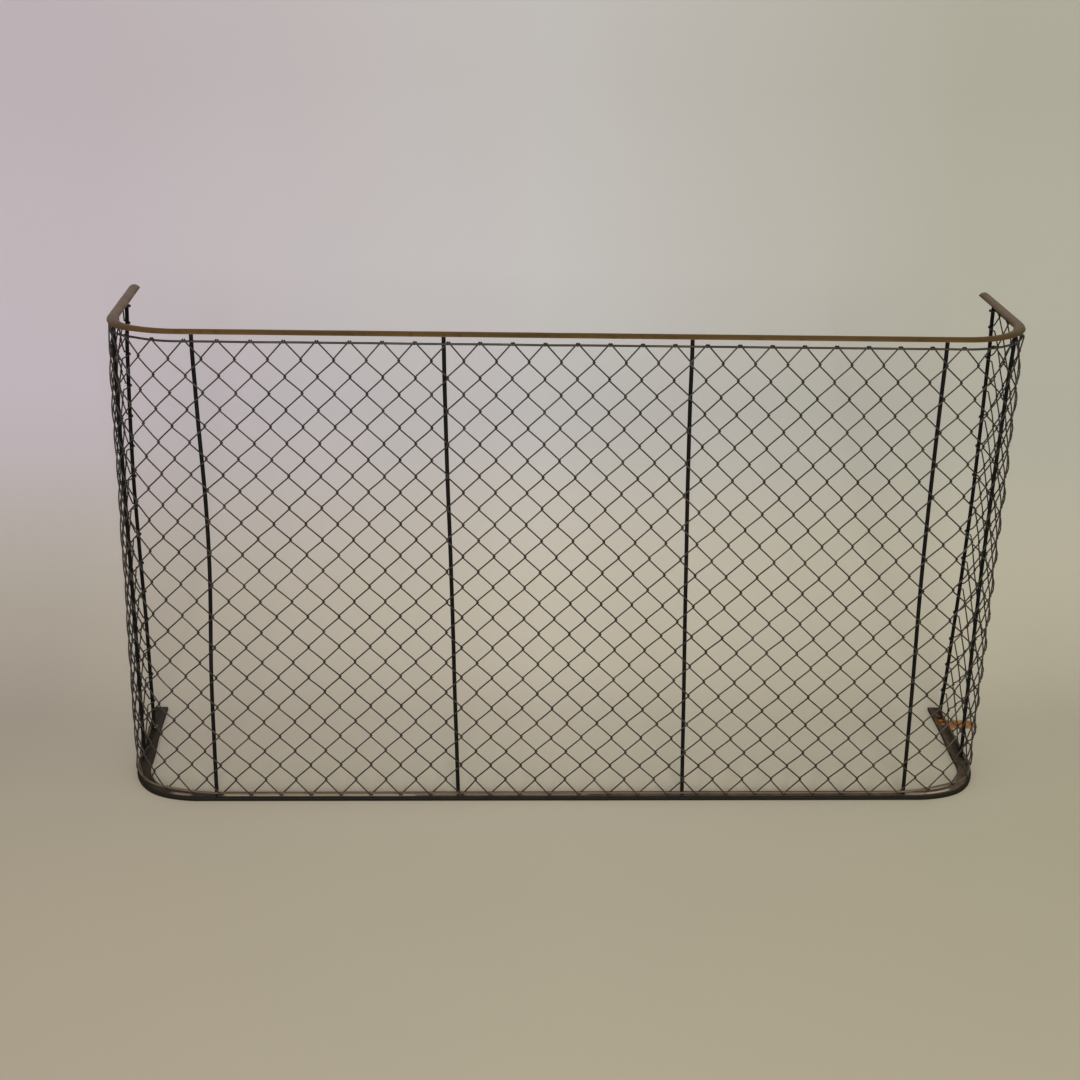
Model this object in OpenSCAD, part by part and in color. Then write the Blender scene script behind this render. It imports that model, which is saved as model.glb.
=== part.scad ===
// Free-standing fire guard: brass-capped top rail, iron rods and bottom rail, diamond wire netting.
// Origin: middle of the front bottom rail, on the hearth. X runs along the front, from left to right
// as seen from the room, Y points to the fire and Z up.

/* [Guard] */
// Width between the centre lines of the two returns
guard_w = 1200; // [700:1:1600]
// Overall height
guard_h = 673; // [400:1:900]
// Corner radius on the rails' centre line
corner_r = 95; // [60:1:100]
// Depth of the top rail's returns, from the front's centre line
top_return = 254; // [230:1:400]
// Depth of the bottom rail's returns, from the front's centre line
bottom_return = 274; // [262:1:400]

/* [Rails] */
// Width of the brass top rail
top_rail_w = 16; // [14:0.5:22]
// Height of the brass top rail
top_rail_t = 5; // [4.5:0.5:8]
// Thickness of the brass sheet
brass_t = 0.8; // [0.6:0.1:1]
// Width of the slot under the brass, where the rods come up
slot_w = 9; // [8.5:0.5:10]
// Width of the bottom rail
bottom_rail_w = 19; // [17:0.5:26]
// Thickness of the bottom rail
bottom_rail_t = 5; // [4.5:0.5:8]
// Bevel on the bottom rail's upper edges
rail_bevel = 0.8; // [0.4:0.1:1.5]
// Play between the iron core and the brass
core_play = 0.1; // [0.05:0.05:0.2]

/* [Rods] */
// Rod diameter
rod_d = 6.4; // [6:0.1:7.5]
// Diameter of the riveted tenons at the rod ends
tenon_d = 4.2; // [3:0.1:5]
// Play round a tenon, and between a rod's shoulder and its rail
tenon_play = 0.1; // [0.05:0.05:0.2]
// Distance of the outer front rods from where the corners begin
rod_inset = 22; // [16:1:80]
// How far each front rod's head stands off its even place
head_shift = [-4, -7, -10, -1]; // [-12:1:12]
// How far each front rod's foot stands off its even place
foot_shift = [1, 16, 10, 4]; // [-16:1:16]
// Distance of the corner rods behind the front's centre line
corner_rod_y = 102; // [100:1:160]
// Mean distance of the back rods behind the front's centre line
back_rod_y = 204; // [190:1:215]
// How far back each side rod's head is moved: left corner, left back, right corner, right back
side_head_shift = [-23, -12, -10, -4]; // [-24:1:0]
// How far back each side rod's foot is moved
side_foot_shift = [9, 0, 10, 31]; // [-4:1:32]

/* [Netting] */
// Netting wire diameter
net_wire_d = 2; // [1.6:0.1:2.4]
// Width of one diamond
diamond_w = 41.7; // [30:0.1:60]
// Height of one diamond
diamond_h = 44.7; // [30:0.1:60]
// How far each bend reaches past the bends of the next strand
bend_lap = 1.6; // [0.5:0.1:3]
// Play between two strands that cross
strand_play = 0.1; // [0.05:0.05:0.2]
// Edge wire diameter
edge_wire_d = 3; // [2.5:0.1:4]
// Upper edge wire, centre below the top rail's underside
upper_wire_drop = 10; // [7:0.5:30]
// Lower edge wire, centre above the bottom rail
lower_wire_rise = 4.5; // [4.5:0.5:30]
// How far the netting hangs to the right of the middle
net_shift = 4; // [-8:0.5:8]
// Play between the wires and what they pass
wire_play = 0.2; // [0.1:0.05:0.3]

/* [Lug] */
// Width of the fixing lug
lug_w = 24; // [22:1:30]
// Thickness of the fixing lug
lug_t = 2.5; // [2:0.5:3]
// Reach of the lug beyond the bottom rail
lug_reach = 44; // [30:1:60]
// How far the lug stops short of the rail's inner edge
lug_inset = 3; // [2:0.5:4]
// Distance of the lug's edge in front of the right back rod's foot
lug_rod_gap = 4; // [4:1:10]
// Diameter of the lug's screw hole
lug_hole_d = 6.5; // [5:0.5:8]
// Diameter of the lug's two rivets
lug_rivet_d = 4; // [3:0.5:4.5]
// Distance between the lug's two rivets
lug_rivet_gap = 12; // [10:1:12]

/* [Hidden] */

// Levels of the rails and the edge wires
rail_z = guard_h - top_rail_t;
core_z = rail_z + brass_t + core_play;
core_top_z = guard_h - brass_t - core_play;
upper_wire_z = rail_z - upper_wire_drop;
lower_wire_z = bottom_rail_t + lower_wire_rise;

// Rod ends: the foot's riveted head is countersunk, and both ends stop a little below the surface
head_flare = 1;
end_sink = 0.4;

// How far a cut runs past the surface that it cuts
past = 1;

// The edge wires and the netting hang outside the rods. Offsets are from the rails' centre line.
edge_wire_off = (rod_d + edge_wire_d) / 2 + wire_play;
net_off = rod_d / 2 + wire_play + net_wire_d;
eye_r = (edge_wire_d + net_wire_d) / 2 + wire_play;

// The netting's path, in plan: half of the front, a corner, and a side up to the back rod
side_x = guard_w / 2;
straight = side_x - corner_r;
net_r = corner_r + net_off;
arc_len = net_r * PI / 2;
left_back_y = back_rod_y - net_shift;
right_back_y = back_rod_y + net_shift;
corner_end = straight + arc_len;
left_len = corner_end + left_back_y - corner_r;
right_len = corner_end + right_back_y - corner_r;

// Strands stand side by side along the path, and each bends once a row
strands = 2 * round((left_len + right_len) / diamond_w);
strand_w = (left_len + right_len) / strands;
rows = max(2, round(2 * (upper_wire_z - lower_wire_z) / diamond_h));
row_h = (upper_wire_z - lower_wire_z) / rows;
hump_parity = round(left_len / strand_w) % 2;

// Distance of an eye from its column: where the strand's last leg meets it, and clear of the next eye
eye_side = max(
  (strand_w + bend_lap) * eye_r / row_h - bend_lap / 2,
  (net_wire_d + strand_play) / 2
);

// How far the netting's end bends are looped round the back rods
loop_turn = 220;

brass_colour = [0.42, 0.32, 0.17];
iron_colour = [0.16, 0.15, 0.14];
rail_colour = [0.27, 0.24, 0.20];
wire_colour = [0.22, 0.20, 0.17];
rust_colour = [0.45, 0.23, 0.10];

// Point and heading of a line round the U, some way outside the rails' centre line, at a distance s
// along it from the middle of the front. The netting's path is such a line.
function along(s, off) =
  let (side = sign(s), u = abs(s), r = corner_r + off, turn = (u - straight) / r * 180 / PI)
  u <= straight ? [s, -off, 0]
  : turn <= 90 ? [side * (straight + r * sin(turn)), corner_r - r * cos(turn), side * turn]
  : [side * (side_x + off), corner_r + u - straight - r * PI / 2, side * 90];
function path(s) = along(s, net_off);

// Each rod's head and foot, as distances along the rails. The front rods come first, about evenly
// spaced, then both on the left return and both on the right one.
rod_spacing = 2 * (straight - rod_inset) / 3;
rail_corner_end = straight + corner_r * PI / 2;
SIDE_ROD_Y = [corner_rod_y, left_back_y, corner_rod_y, right_back_y];
LEFT_BACK_ROD = 5;
LAST_ROD = 7;
function rod_place(i, front, side) =
  i < 4 ? (i - 1.5) * rod_spacing + front[i]
  : (i <= LEFT_BACK_ROD ? -1 : 1) * (rail_corner_end + SIDE_ROD_Y[i - 4] + side[i - 4] - corner_r);
HEAD_PLACES = [for (i = [0:LAST_ROD]) rod_place(i, head_shift, side_head_shift)];
FOOT_PLACES = [for (i = [0:LAST_ROD]) rod_place(i, foot_shift, side_foot_shift)];
HEADS = [for (u = HEAD_PLACES) along(u, 0)];
FEET = [for (u = FOOT_PLACES) along(u, 0)];

// Distance along the netting's path at which a rod stands, at height z
function on_path(u) =
  abs(u) <= straight ? u
  : sign(u) * (straight + min(abs(u) - straight, corner_r * PI / 2) * net_r / corner_r
    + max(0, abs(u) - rail_corner_end));
function rod_s(i, z) =
  let (foot = on_path(FOOT_PLACES[i]), head = on_path(HEAD_PLACES[i]))
  foot + (head - foot) * z / guard_h;

// Distance behind the front's centre line of a back rod, at height z
function back_y(i, z) = corner_r + abs(rod_s(i, z)) - corner_end;

// Place along the path of column c of the bends, at height z. The netting's ends keep to the
// leaning back rods, and the columns of the returns are drawn out or together by that.
function column(c, z) =
  let (s = even_place(c), even_end = s < 0 ? left_len : right_len)
  let (end = abs(rod_s(s < 0 ? LEFT_BACK_ROD : LAST_ROD, z)))
  s + sign(s) * max(0, abs(s) - corner_end) / (even_end - corner_end) * (end - even_end);

// Distance along the path from a place on it to the nearest rod
function to_rod(s, z) =
  let (gaps = [for (i = [0:LAST_ROD]) rod_s(i, z) - s], least = min([for (gap = gaps) abs(gap)]))
  [for (gap = gaps) if (abs(gap) == least) gap][0];

// The two eyes at column c stand eye_side to each side of it, or else far enough to clear a rod,
// which may pass between them or beside both. The side is -1 for the left eye and 1 for the right.
eye_room = (rod_d + net_wire_d) / 2 + wire_play;
function eye_s(c, side, z) =
  let (s = column(c, z), gap = side * to_rod(s, z))
  s + side * (
    gap > eye_side ? min(eye_side, gap - eye_room)
    : gap >= -eye_side ? max(eye_side, gap + eye_room)
    : max(eye_side, gap + eye_room + 2 * eye_side)
  );

// Carries a flat section round the U. In the section, X points outwards from the rails' centre
// line and Y is the height.
module round_the_u(left_depth, right_depth) {
  translate([straight, 0, 0]) rotate([90, 0, -90]) linear_extrude(2 * straight) children();
  for (s = [0, 1]) mirror([s, 0, 0]) {
    depth = s == 0 ? right_depth : left_depth;
    translate([straight, corner_r, 0]) rotate([0, 0, -90])
      rotate_extrude(angle = 90, $fn = 96) translate([corner_r, 0]) children();
    translate([side_x, depth, 0]) rotate([90, 0, 0]) linear_extrude(depth - corner_r) children();
  }
}

// A half-oval section, taken in all round by an inset
module half_oval(w, t, inset = 0) {
  r = (w * w / 4 + t * t) / (2 * t);
  intersection() {
    translate([0, t - r]) circle(r - inset, $fn = 96);
    translate([-w / 2, inset]) square([w, t]);
  }
}

// Frame of rod i: its foot at the hearth, local Z up the rod. Heights are stretched by the lean.
function lean(i) = HEADS[i] - FEET[i];
function stretch(i) = norm([lean(i).x, lean(i).y, guard_h]) / guard_h;
module on_rod(i) {
  translate([FEET[i].x, FEET[i].y, 0])
    rotate([0, atan2(norm(lean(i)), guard_h), atan2(lean(i).y, lean(i).x)]) children();
}

// A rod's tenon from end to end, with the foot's countersunk head, or with play the hole for it
module tenon(i, play = 0) {
  k = stretch(i);
  r = tenon_d / 2 + play;
  bottom = play > 0 ? -past : end_sink;
  top = play > 0 ? guard_h : core_top_z - end_sink;
  flare = end_sink + head_flare - bottom;
  on_rod(i) translate([0, 0, bottom * k]) {
    cylinder(r = r, h = (top - bottom) * k, $fn = 32);
    cylinder(r1 = r + flare, r2 = r, h = flare, $fn = 32);
  }
}

// A round rod between the rails, with level shoulders
module rod(i) {
  low = bottom_rail_t + tenon_play;
  high = core_z - tenon_play;
  color(iron_colour) {
    intersection() {
      on_rod(i) cylinder(d = rod_d, h = guard_h * stretch(i), $fn = 48);
      translate([-guard_w, -guard_w, low]) cube([2 * guard_w, 2 * guard_w, high - low]);
    }
    tenon(i);
  }
}

module top_rail_brass() {
  color(brass_colour) translate([0, 0, rail_z]) round_the_u(top_return, top_return) difference() {
    half_oval(top_rail_w, top_rail_t);
    half_oval(top_rail_w, top_rail_t, brass_t);
    translate([-slot_w / 2, -brass_t]) square([slot_w, 3 * brass_t]);
  }
}

module top_rail_core() {
  color(iron_colour) difference() {
    translate([0, 0, rail_z]) round_the_u(top_return, top_return)
      half_oval(top_rail_w, top_rail_t, brass_t + core_play);
    for (i = [0:LAST_ROD]) tenon(i, tenon_play);
  }
}

module bottom_rail() {
  w = bottom_rail_w / 2;
  t = bottom_rail_t;
  b = rail_bevel;
  color(rail_colour) difference() {
    round_the_u(bottom_return, bottom_return)
      polygon([[-w, 0], [w, 0], [w, t - b], [w - b, t], [b - w, t], [-w, t - b]]);
    for (i = [0:LAST_ROD]) tenon(i, tenon_play);
    lug_plate(core_play);
    rivets(tenon_play);
  }
}

// An edge wire goes round the U outside the rods, and its ends hook round the back rods
module edge_wire(z) {
  left_y = back_y(LEFT_BACK_ROD, z);
  right_y = back_y(LAST_ROD, z);
  color(wire_colour) translate([0, 0, z]) {
    round_the_u(left_y, right_y) translate([edge_wire_off, 0]) circle(d = edge_wire_d, $fn = 32);
    for (s = [0, 1]) mirror([s, 0, 0]) translate([side_x, s == 0 ? right_y : left_y, 0])
      rotate_extrude(angle = 250, $fn = 64) translate([edge_wire_off, 0]) circle(d = edge_wire_d, $fn = 32);
  }
}

// Place along the path of column c while the back rods stand upright, which is where strand c starts
function even_place(c) = c * strand_w - left_len;

// Heading of strand k, and the turn from it to whichever neighbour turns more
function heading(k) =
  let (step = path(even_place(k + 1)) - path(even_place(k)))
  atan2(step.y, step.x);
function turn(k) = max([for (n = [-1, 1]) abs(heading(k + n) - heading(k))]);

// How far the path bulges out beyond flat strand k, and beyond whichever of it and its neighbours
// it bulges out most
function bulge(k) =
  let (gap = path(even_place(k + 0.5)) - (path(even_place(k)) + path(even_place(k + 1))) / 2)
  norm([gap.x, gap.y]);
function most_bulge(k) = max([for (n = [-1:1]) bulge(k + n)]);

// Bends of strand k lie on its left edge in every other row, and on its right edge in the rest
function bends_left(k, r) = (k + r + hump_parity) % 2 == 0;
function bend_x(k, r, w) =
  let (c = bends_left(k, r) ? k : k + 1, moved = column(c, upper_wire_z - r * row_h) - even_place(c))
  moved + (bends_left(k, r) ? -bend_lap / 2 : w + bend_lap / 2);

// One strand: a flat zigzag of wire between two columns of bends, down to its eyes. Strands lie by
// turns inside and outside their neighbours, and further out where the netting turns a corner.
module zigzag(k) {
  from = path(even_place(k));
  to = path(even_place(k + 1));
  w = norm([to.x - from.x, to.y - from.y]);
  half = net_wire_d / 2 * norm([w + bend_lap, row_h]) / row_h;
  tip = bend_lap / 2 + half;
  line = concat(
    [[strand_eye_s(k, 0) - even_place(k), upper_wire_z - eye_r]],
    [for (r = [1:rows - 1]) [bend_x(k, r, w), upper_wire_z - r * row_h]],
    [[strand_eye_s(k, rows) - even_place(k), lower_wire_z + eye_r]]
  );
  outline = concat(
    [for (p = line) p - [half, 0]],
    [for (j = [len(line) - 1:-1:0]) line[j] + [half, 0]]
  );
  apart = (net_wire_d + strand_play) / 2;
  level = k % 2 == 0 ? apart - bulge(k) : -apart - tip * sin(turn(k)) - most_bulge(k);
  translate([from.x, from.y, 0]) rotate([0, 0, heading(k)])
    translate([0, level, 0]) rotate([90, 0, 0])
      linear_extrude(net_wire_d, center = true) polygon(outline);
}

// Place along the netting of the eye at one end of strand k, in row 0 or the last row
function strand_eye_s(k, r) =
  let (side = bends_left(k, r) ? 1 : -1)
  eye_s(side > 0 ? k : k + 1, side, r == 0 ? upper_wire_z : lower_wire_z);

// An eye: the strand's end turned round the edge wire
module eye(k, r) {
  p = path(strand_eye_s(k, r));
  translate([p.x, p.y, r == 0 ? upper_wire_z : lower_wire_z]) rotate([0, 0, p.z])
    translate([0, net_off - edge_wire_off, 0]) rotate([0, 90, 0])
      linear_extrude(net_wire_d, center = true) difference() {
        circle(eye_r + net_wire_d / 2, $fn = 32);
        circle(eye_r - net_wire_d / 2, $fn = 32);
      }
}

// The outermost strands' end bends are looped round the back rods, which they pass on the outside
module end_loops(k) {
  right = k > 0;
  for (r = [1:rows - 1]) if (bends_left(k, r) != right) {
    z = upper_wire_z - r * row_h;
    mirror([right ? 0 : 1, 0, 0])
      translate([side_x, back_y(right ? LAST_ROD : LEFT_BACK_ROD, z), z])
        rotate_extrude(angle = loop_turn, $fn = 48)
          translate([net_off - net_wire_d / 2, -net_wire_d / 2]) square(net_wire_d);
  }
}

module strand(k) {
  zigzag(k);
  eye(k, 0);
  eye(k, rows);
  if (k == 0 || k == strands - 1) end_loops(k);
}

// The strands whose middle lies between two distances along the path
module net(from, to) {
  color(wire_colour) for (k = [0:strands - 1]) {
    s = even_place(k + 0.5);
    if (s >= from && s < to) strand(k);
  }
}

// The lug is let into the underside of the right return, in front of the back rod
lug_y = FEET[LAST_ROD].y - lug_rod_gap - lug_w / 2;
lug_in_x = side_x - bottom_rail_w / 2 + lug_inset;
lug_hole_x = side_x + bottom_rail_w / 2 + lug_reach - lug_w / 2;
module lug_plate(play = 0) {
  bottom = play > 0 ? -past : 0;
  translate([0, lug_y, bottom]) linear_extrude(lug_t + play - bottom) {
    translate([lug_in_x - play, -lug_w / 2 - play]) square([lug_hole_x - lug_in_x, lug_w + 2 * play]);
    translate([lug_hole_x, 0]) circle(lug_w / 2 + play, $fn = 64);
  }
}

module fixing_lug() {
  color(rust_colour) difference() {
    lug_plate();
    translate([lug_hole_x, lug_y, -past]) cylinder(d = lug_hole_d, h = lug_t + 2 * past, $fn = 48);
    rivets(tenon_play);
  }
}

// Two countersunk rivets through the lug and the rail
module rivets(play = 0) {
  r = lug_rivet_d / 2 + play;
  over = play > 0 ? past : 0;
  flare = head_flare + over;
  for (side = [-1, 1]) translate([side_x, lug_y + side * lug_rivet_gap / 2, -over]) {
    cylinder(r = r, h = bottom_rail_t + 2 * over, $fn = 32);
    cylinder(r1 = r + flare, r2 = r, h = flare, $fn = 32);
    translate([0, 0, bottom_rail_t + 2 * over - flare])
      cylinder(r1 = r, r2 = r + flare, h = flare, $fn = 32);
  }
}
module lug_rivets() {
  color(rust_colour) rivets();
}

top_rail_brass();
top_rail_core();
bottom_rail();
edge_wire(upper_wire_z);  // upper_edge_wire
edge_wire(lower_wire_z);  // lower_edge_wire
rod(0);  // front_rod_1
rod(1);  // front_rod_2
rod(2);  // front_rod_3
rod(3);  // front_rod_4
rod(4);  // left_corner_rod
rod(5);  // left_back_rod
rod(6);  // right_corner_rod
rod(7);  // right_back_rod
net(-left_len, -corner_end);  // net_left
net(-corner_end, -straight);  // net_left_corner
net(-straight, 0);  // net_front_left
net(0, straight);  // net_front_right
net(straight, corner_end);  // net_right_corner
net(corner_end, right_len);  // net_right
fixing_lug();
lug_rivets();
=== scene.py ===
import logging
import math
from dataclasses import dataclass, field
from enum import Enum
from typing import Callable, Iterable, Sequence

import bpy
import numpy as np
from mathutils import Matrix, Vector, noise


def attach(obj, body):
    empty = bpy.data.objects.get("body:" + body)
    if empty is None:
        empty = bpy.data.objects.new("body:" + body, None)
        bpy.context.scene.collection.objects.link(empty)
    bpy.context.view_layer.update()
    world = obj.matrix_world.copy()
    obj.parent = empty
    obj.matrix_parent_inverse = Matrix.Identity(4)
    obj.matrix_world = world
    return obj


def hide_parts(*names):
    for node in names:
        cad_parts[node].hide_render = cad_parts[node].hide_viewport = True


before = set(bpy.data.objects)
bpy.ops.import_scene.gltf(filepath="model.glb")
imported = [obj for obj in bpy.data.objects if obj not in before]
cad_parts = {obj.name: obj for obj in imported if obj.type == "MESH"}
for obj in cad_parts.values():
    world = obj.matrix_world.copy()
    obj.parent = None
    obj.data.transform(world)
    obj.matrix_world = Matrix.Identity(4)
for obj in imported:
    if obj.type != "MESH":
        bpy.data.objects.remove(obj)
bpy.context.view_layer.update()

LOG = logging.getLogger("fire_guard")
BODY = "root"
MM = 0.001
QUARTER = math.pi / 2
# A direction that no wire starts in, from which a tube's first side is taken
ASKEW = (0.31, 0.17, 0.93)
# Rounding of a wire's end: distance past it and width of each ring, in radii
DOME = ((0.45, 0.85), (0.75, 0.5))

Socket = bpy.types.NodeSocket
Colour = tuple[float, float, float]
Spot = tuple[float, float, float]


class Slot(Enum):
    """The material slots."""

    BRASS = "aged_brass"
    BLACK = "black_iron"
    RAIL = "rail_iron"
    WIRE = "net_wire"
    RUST = "rusted_iron"


# Small maths


def smooth(x: float) -> float:
    """Eases a value from 0 to 1, and holds it there outside that range."""
    x = min(max(x, 0.0), 1.0)
    return x * x * (3 - 2 * x)


def bump(x: float, centre: float, spread: float) -> float:
    """A bell of height 1 round a centre."""
    return math.exp(-(((x - centre) / spread) ** 2))


def ripple(x: float, y: float, z: float, grain: float, seed: float = 0.0) -> float:
    """Smooth noise between about -1 and 1.

    Args:
        x: Place in mm.
        y: Place in mm.
        z: Place in mm.
        grain: Size of a ripple in mm.
        seed: Offset that makes one ripple differ from another.

    Returns:
        The noise at that place.
    """
    return noise.noise(Vector((x / grain + seed, y / grain - seed, z / grain + 2 * seed)))


@dataclass(frozen=True)
class Plan:
    """The guard's U in plan, in mm: half of the front, a corner, and a return on each side."""

    side_x: float = 600.0
    corner_r: float = 95.0

    @property
    def straight(self) -> float:
        """Half length of the front's straight stretch."""
        return self.side_x - self.corner_r

    def corner_end(self, reach: float) -> float:
        """Distance from the middle at which a line that far outside the centre line leaves the corner."""
        return self.straight + (self.corner_r + reach) * QUARTER

    def place(self, s: float, out: float, reach: float = 0.0) -> tuple[float, float]:
        """Finds the point at a distance round the U.

        Args:
            s: Distance from the middle of the front, along the line `reach` outside the rails.
            out: How far the point lies outside the rails' centre line.
            reach: Offset of the line along which s is measured.

        Returns:
            X and Y in mm.
        """
        side, u = math.copysign(1.0, s), abs(s)
        arc_r = self.corner_r + reach
        if u <= self.straight:
            return s, -out
        if u <= self.corner_end(reach):
            turn = (u - self.straight) / arc_r
            r = self.corner_r + out
            return side * (self.straight + r * math.sin(turn)), self.corner_r - r * math.cos(turn)
        return side * (self.side_x + out), self.corner_r + u - self.corner_end(reach)

    def find(self, x: float, y: float, reach: float = 0.0) -> tuple[float, float]:
        """Finds how far round the U a point stands, which is the reverse of `place`.

        Args:
            x: X in mm.
            y: Y in mm.
            reach: Offset of the line along which the distance is measured.

        Returns:
            Distance from the middle of the front, and distance outside the rails' centre line.
        """
        side, across, back = math.copysign(1.0, x), abs(x) - self.straight, self.corner_r - y
        if across <= 0:
            return x, -y
        if back <= 0:
            return side * (self.corner_end(reach) - back), abs(x) - self.side_x
        bent = (self.corner_r + reach) * math.atan2(across, back)
        return side * (self.straight + bent), math.hypot(across, back) - self.corner_r

    def stations(self, depth: float, step: float, corner_steps: int = 22) -> list[float]:
        """Distances round the rails' centre line at which a swept piece has its sections.

        Args:
            depth: Depth of both returns behind the front's centre line.
            step: Greatest distance between two sections of a straight stretch.
            corner_steps: Sections in one corner.

        Returns:
            Distances from the left return's end to the right one's.
        """
        leg = depth - self.corner_r
        end = self.corner_end(0)
        half = list(np.linspace(0, self.straight, math.ceil(self.straight / step) + 1))
        half += list(np.linspace(self.straight, end, corner_steps + 1))[1:]
        half += list(np.linspace(end, end + leg, math.ceil(leg / step) + 1))[1:]
        return [-s for s in reversed(half[1:])] + half


# Meshes


def sunk(
    points: np.ndarray, drop: float = 0.0045, start_x: float = -555.0, full_x: float = -600.0
) -> np.ndarray:
    """Lowers the left return a little, where the real guard has sunk: in proportion to the height.

    Args:
        points: Points in mm.
        drop: Share of its height that a point of the return loses.
        start_x: X at which the guard begins to sink.
        full_x: X from which on it has sunk all the way.

    Returns:
        The points as they lie on the real guard.
    """
    share = np.clip((start_x - points[:, 0]) / (start_x - full_x), 0.0, 1.0)
    share = share * share * (3 - 2 * share)
    return points * np.column_stack([np.ones((len(points), 2)), 1 - drop * share])


def turns(sides: int) -> np.ndarray:
    """Angles of the points of a round section."""
    return np.arange(sides) * 2 * math.pi / sides


def upright(x: float, y: float) -> Callable[[float], Vector]:
    """The line that stands upright on a spot, as the middle of a turned piece."""
    return lambda z: Vector((x, y, z))


class Former:
    """Collects the rings of one piece and makes its mesh."""

    def __init__(self, name: str) -> None:
        """Starts an empty piece with its name."""
        self.name = name
        self.verts: list[np.ndarray] = []
        self.faces: list[tuple[int, ...]] = []
        self.count = 0

    def loft(self, rings: np.ndarray, caps: bool = True, loop: bool = False) -> None:
        """Joins rings of points into a closed skin.

        Args:
            rings: Points in mm, by ring and by place in the ring.
            caps: Whether the first and last ring are closed with a face.
            loop: Whether the last ring joins the first.
        """
        n, m = rings.shape[:2]
        base = self.count
        self.verts.append(rings.reshape(-1, 3))
        self.count += n * m
        for i in range(n if loop else n - 1):
            a, b = base + i * m, base + (i + 1) % n * m
            for j in range(m):
                k = (j + 1) % m
                self.faces.append((a + j, a + k, b + k, b + j))
        if caps and not loop:
            self.faces.append(tuple(base + j for j in reversed(range(m))))
            self.faces.append(tuple(base + (n - 1) * m + j for j in range(m)))

    def tube(self, line: np.ndarray, radius: float | np.ndarray, sides: int = 8) -> None:
        """Sweeps a round section along a line, and rounds off both ends.

        Args:
            line: Points in mm.
            radius: Radius in mm, for the whole line or for each point.
            sides: Number of points round the section.
        """
        radii = np.broadcast_to(np.asarray(radius, dtype=float), (len(line),)).copy()
        step = np.diff(line, axis=0)
        step /= np.maximum(np.linalg.norm(step, axis=1), 1e-9)[:, None]
        ways = np.vstack([step[:1], step[:-1] + step[1:], step[-1:]])
        ways /= np.maximum(np.linalg.norm(ways, axis=1), 1e-9)[:, None]
        across = np.cross(ways[0], ASKEW)
        sides_dir = []
        for way in ways:
            across = across - way * across.dot(way)
            across = across / np.linalg.norm(across)
            sides_dir.append(across)
        first = np.array(sides_dir)
        second = np.cross(ways, first)
        turn = turns(sides)
        ring = np.cos(turn)[None, :, None] * first[:, None] + np.sin(turn)[None, :, None] * second[:, None]
        rings = line[:, None] + ring * radii[:, None, None]
        start = [line[0] - ways[0] * radii[0] * a + ring[0] * radii[0] * b for a, b in reversed(DOME)]
        end = [line[-1] + ways[-1] * radii[-1] * a + ring[-1] * radii[-1] * b for a, b in DOME]
        self.loft(np.concatenate([np.array(start), rings, np.array(end)]))

    def revolve(
        self, profile: Sequence[tuple[float, float]], centre: Callable[[float], Vector], sides: int
    ) -> None:
        """Turns a profile round an upright line.

        Args:
            profile: Height and radius of each ring in mm, from the bottom to the top.
            centre: Gives the middle of the ring at a height.
            sides: Number of points in a ring.
        """
        turn = turns(sides)
        rings = []
        for z, r in profile:
            c = centre(z)
            points = (c.x + r * np.cos(turn), c.y + r * np.sin(turn), np.full(sides, c.z))
            rings.append(np.column_stack(points))
        self.loft(np.array(rings))

    def sweep(
        self, plan: Plan, stations: Iterable[float], bend: Callable[[float], float],
        section: Callable[[float], Sequence[tuple[float, float]]], z: float = 0.0
    ) -> None:
        """Carries a section round the U.

        Args:
            plan: The U.
            stations: Distances round it at which the section stands.
            bend: Gives how far the line runs outside the even one at a distance.
            section: Gives the section's offsets out and up at a distance.
            z: Height of the section's foot.
        """
        rings = []
        for s in stations:
            at = bend(s)
            rings.append([(*plan.place(s, at + out), z + up) for out, up in section(s)])
        self.loft(np.array(rings))

    def mesh(self, crease: float = 38.0) -> bpy.types.Object:
        """Makes the piece's object, smooth but for creases sharper than an angle in degrees."""
        data = bpy.data.meshes.new(self.name)
        data.from_pydata((sunk(np.concatenate(self.verts)) * MM).tolist(), [], self.faces)
        data.validate()
        data.shade_smooth()
        data.set_sharp_from_angle(angle=math.radians(crease))
        made = bpy.data.objects.new(self.name, data)
        bpy.context.scene.collection.objects.link(made)
        return made


def carve(piece: bpy.types.Object, cutter: bpy.types.Object, crease: float = 38.0) -> None:
    """Cuts one closed mesh out of another, and deletes the cutter.

    Args:
        piece: The object that is cut.
        cutter: The object whose volume is taken away.
        crease: Angle in degrees beyond which an edge stays sharp.
    """
    cut = piece.modifiers.new("cut", "BOOLEAN")
    cut.operation = "DIFFERENCE"
    cut.solver = "EXACT"
    cut.object = cutter
    shape = bpy.data.meshes.new_from_object(piece.evaluated_get(bpy.context.evaluated_depsgraph_get()))
    piece.modifiers.clear()
    piece.data = shape
    shape.shade_smooth()
    shape.set_sharp_from_angle(angle=math.radians(crease))
    bpy.data.objects.remove(cutter)


def mark(piece: bpy.types.Object, name: str, value: Callable[[float, float, float], float]) -> None:
    """Writes a named mask on a piece's points.

    Args:
        piece: The object to mark.
        name: Name of the attribute.
        value: Gives the mask at X, Y and Z in mm.
    """
    spots = np.empty(len(piece.data.vertices) * 3)
    piece.data.vertices.foreach_get("co", spots)
    mask = [value(*spot) for spot in (spots.reshape(-1, 3) / MM).tolist()]
    piece.data.attributes.new(name, "FLOAT", "POINT").data.foreach_set("value", mask)


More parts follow.
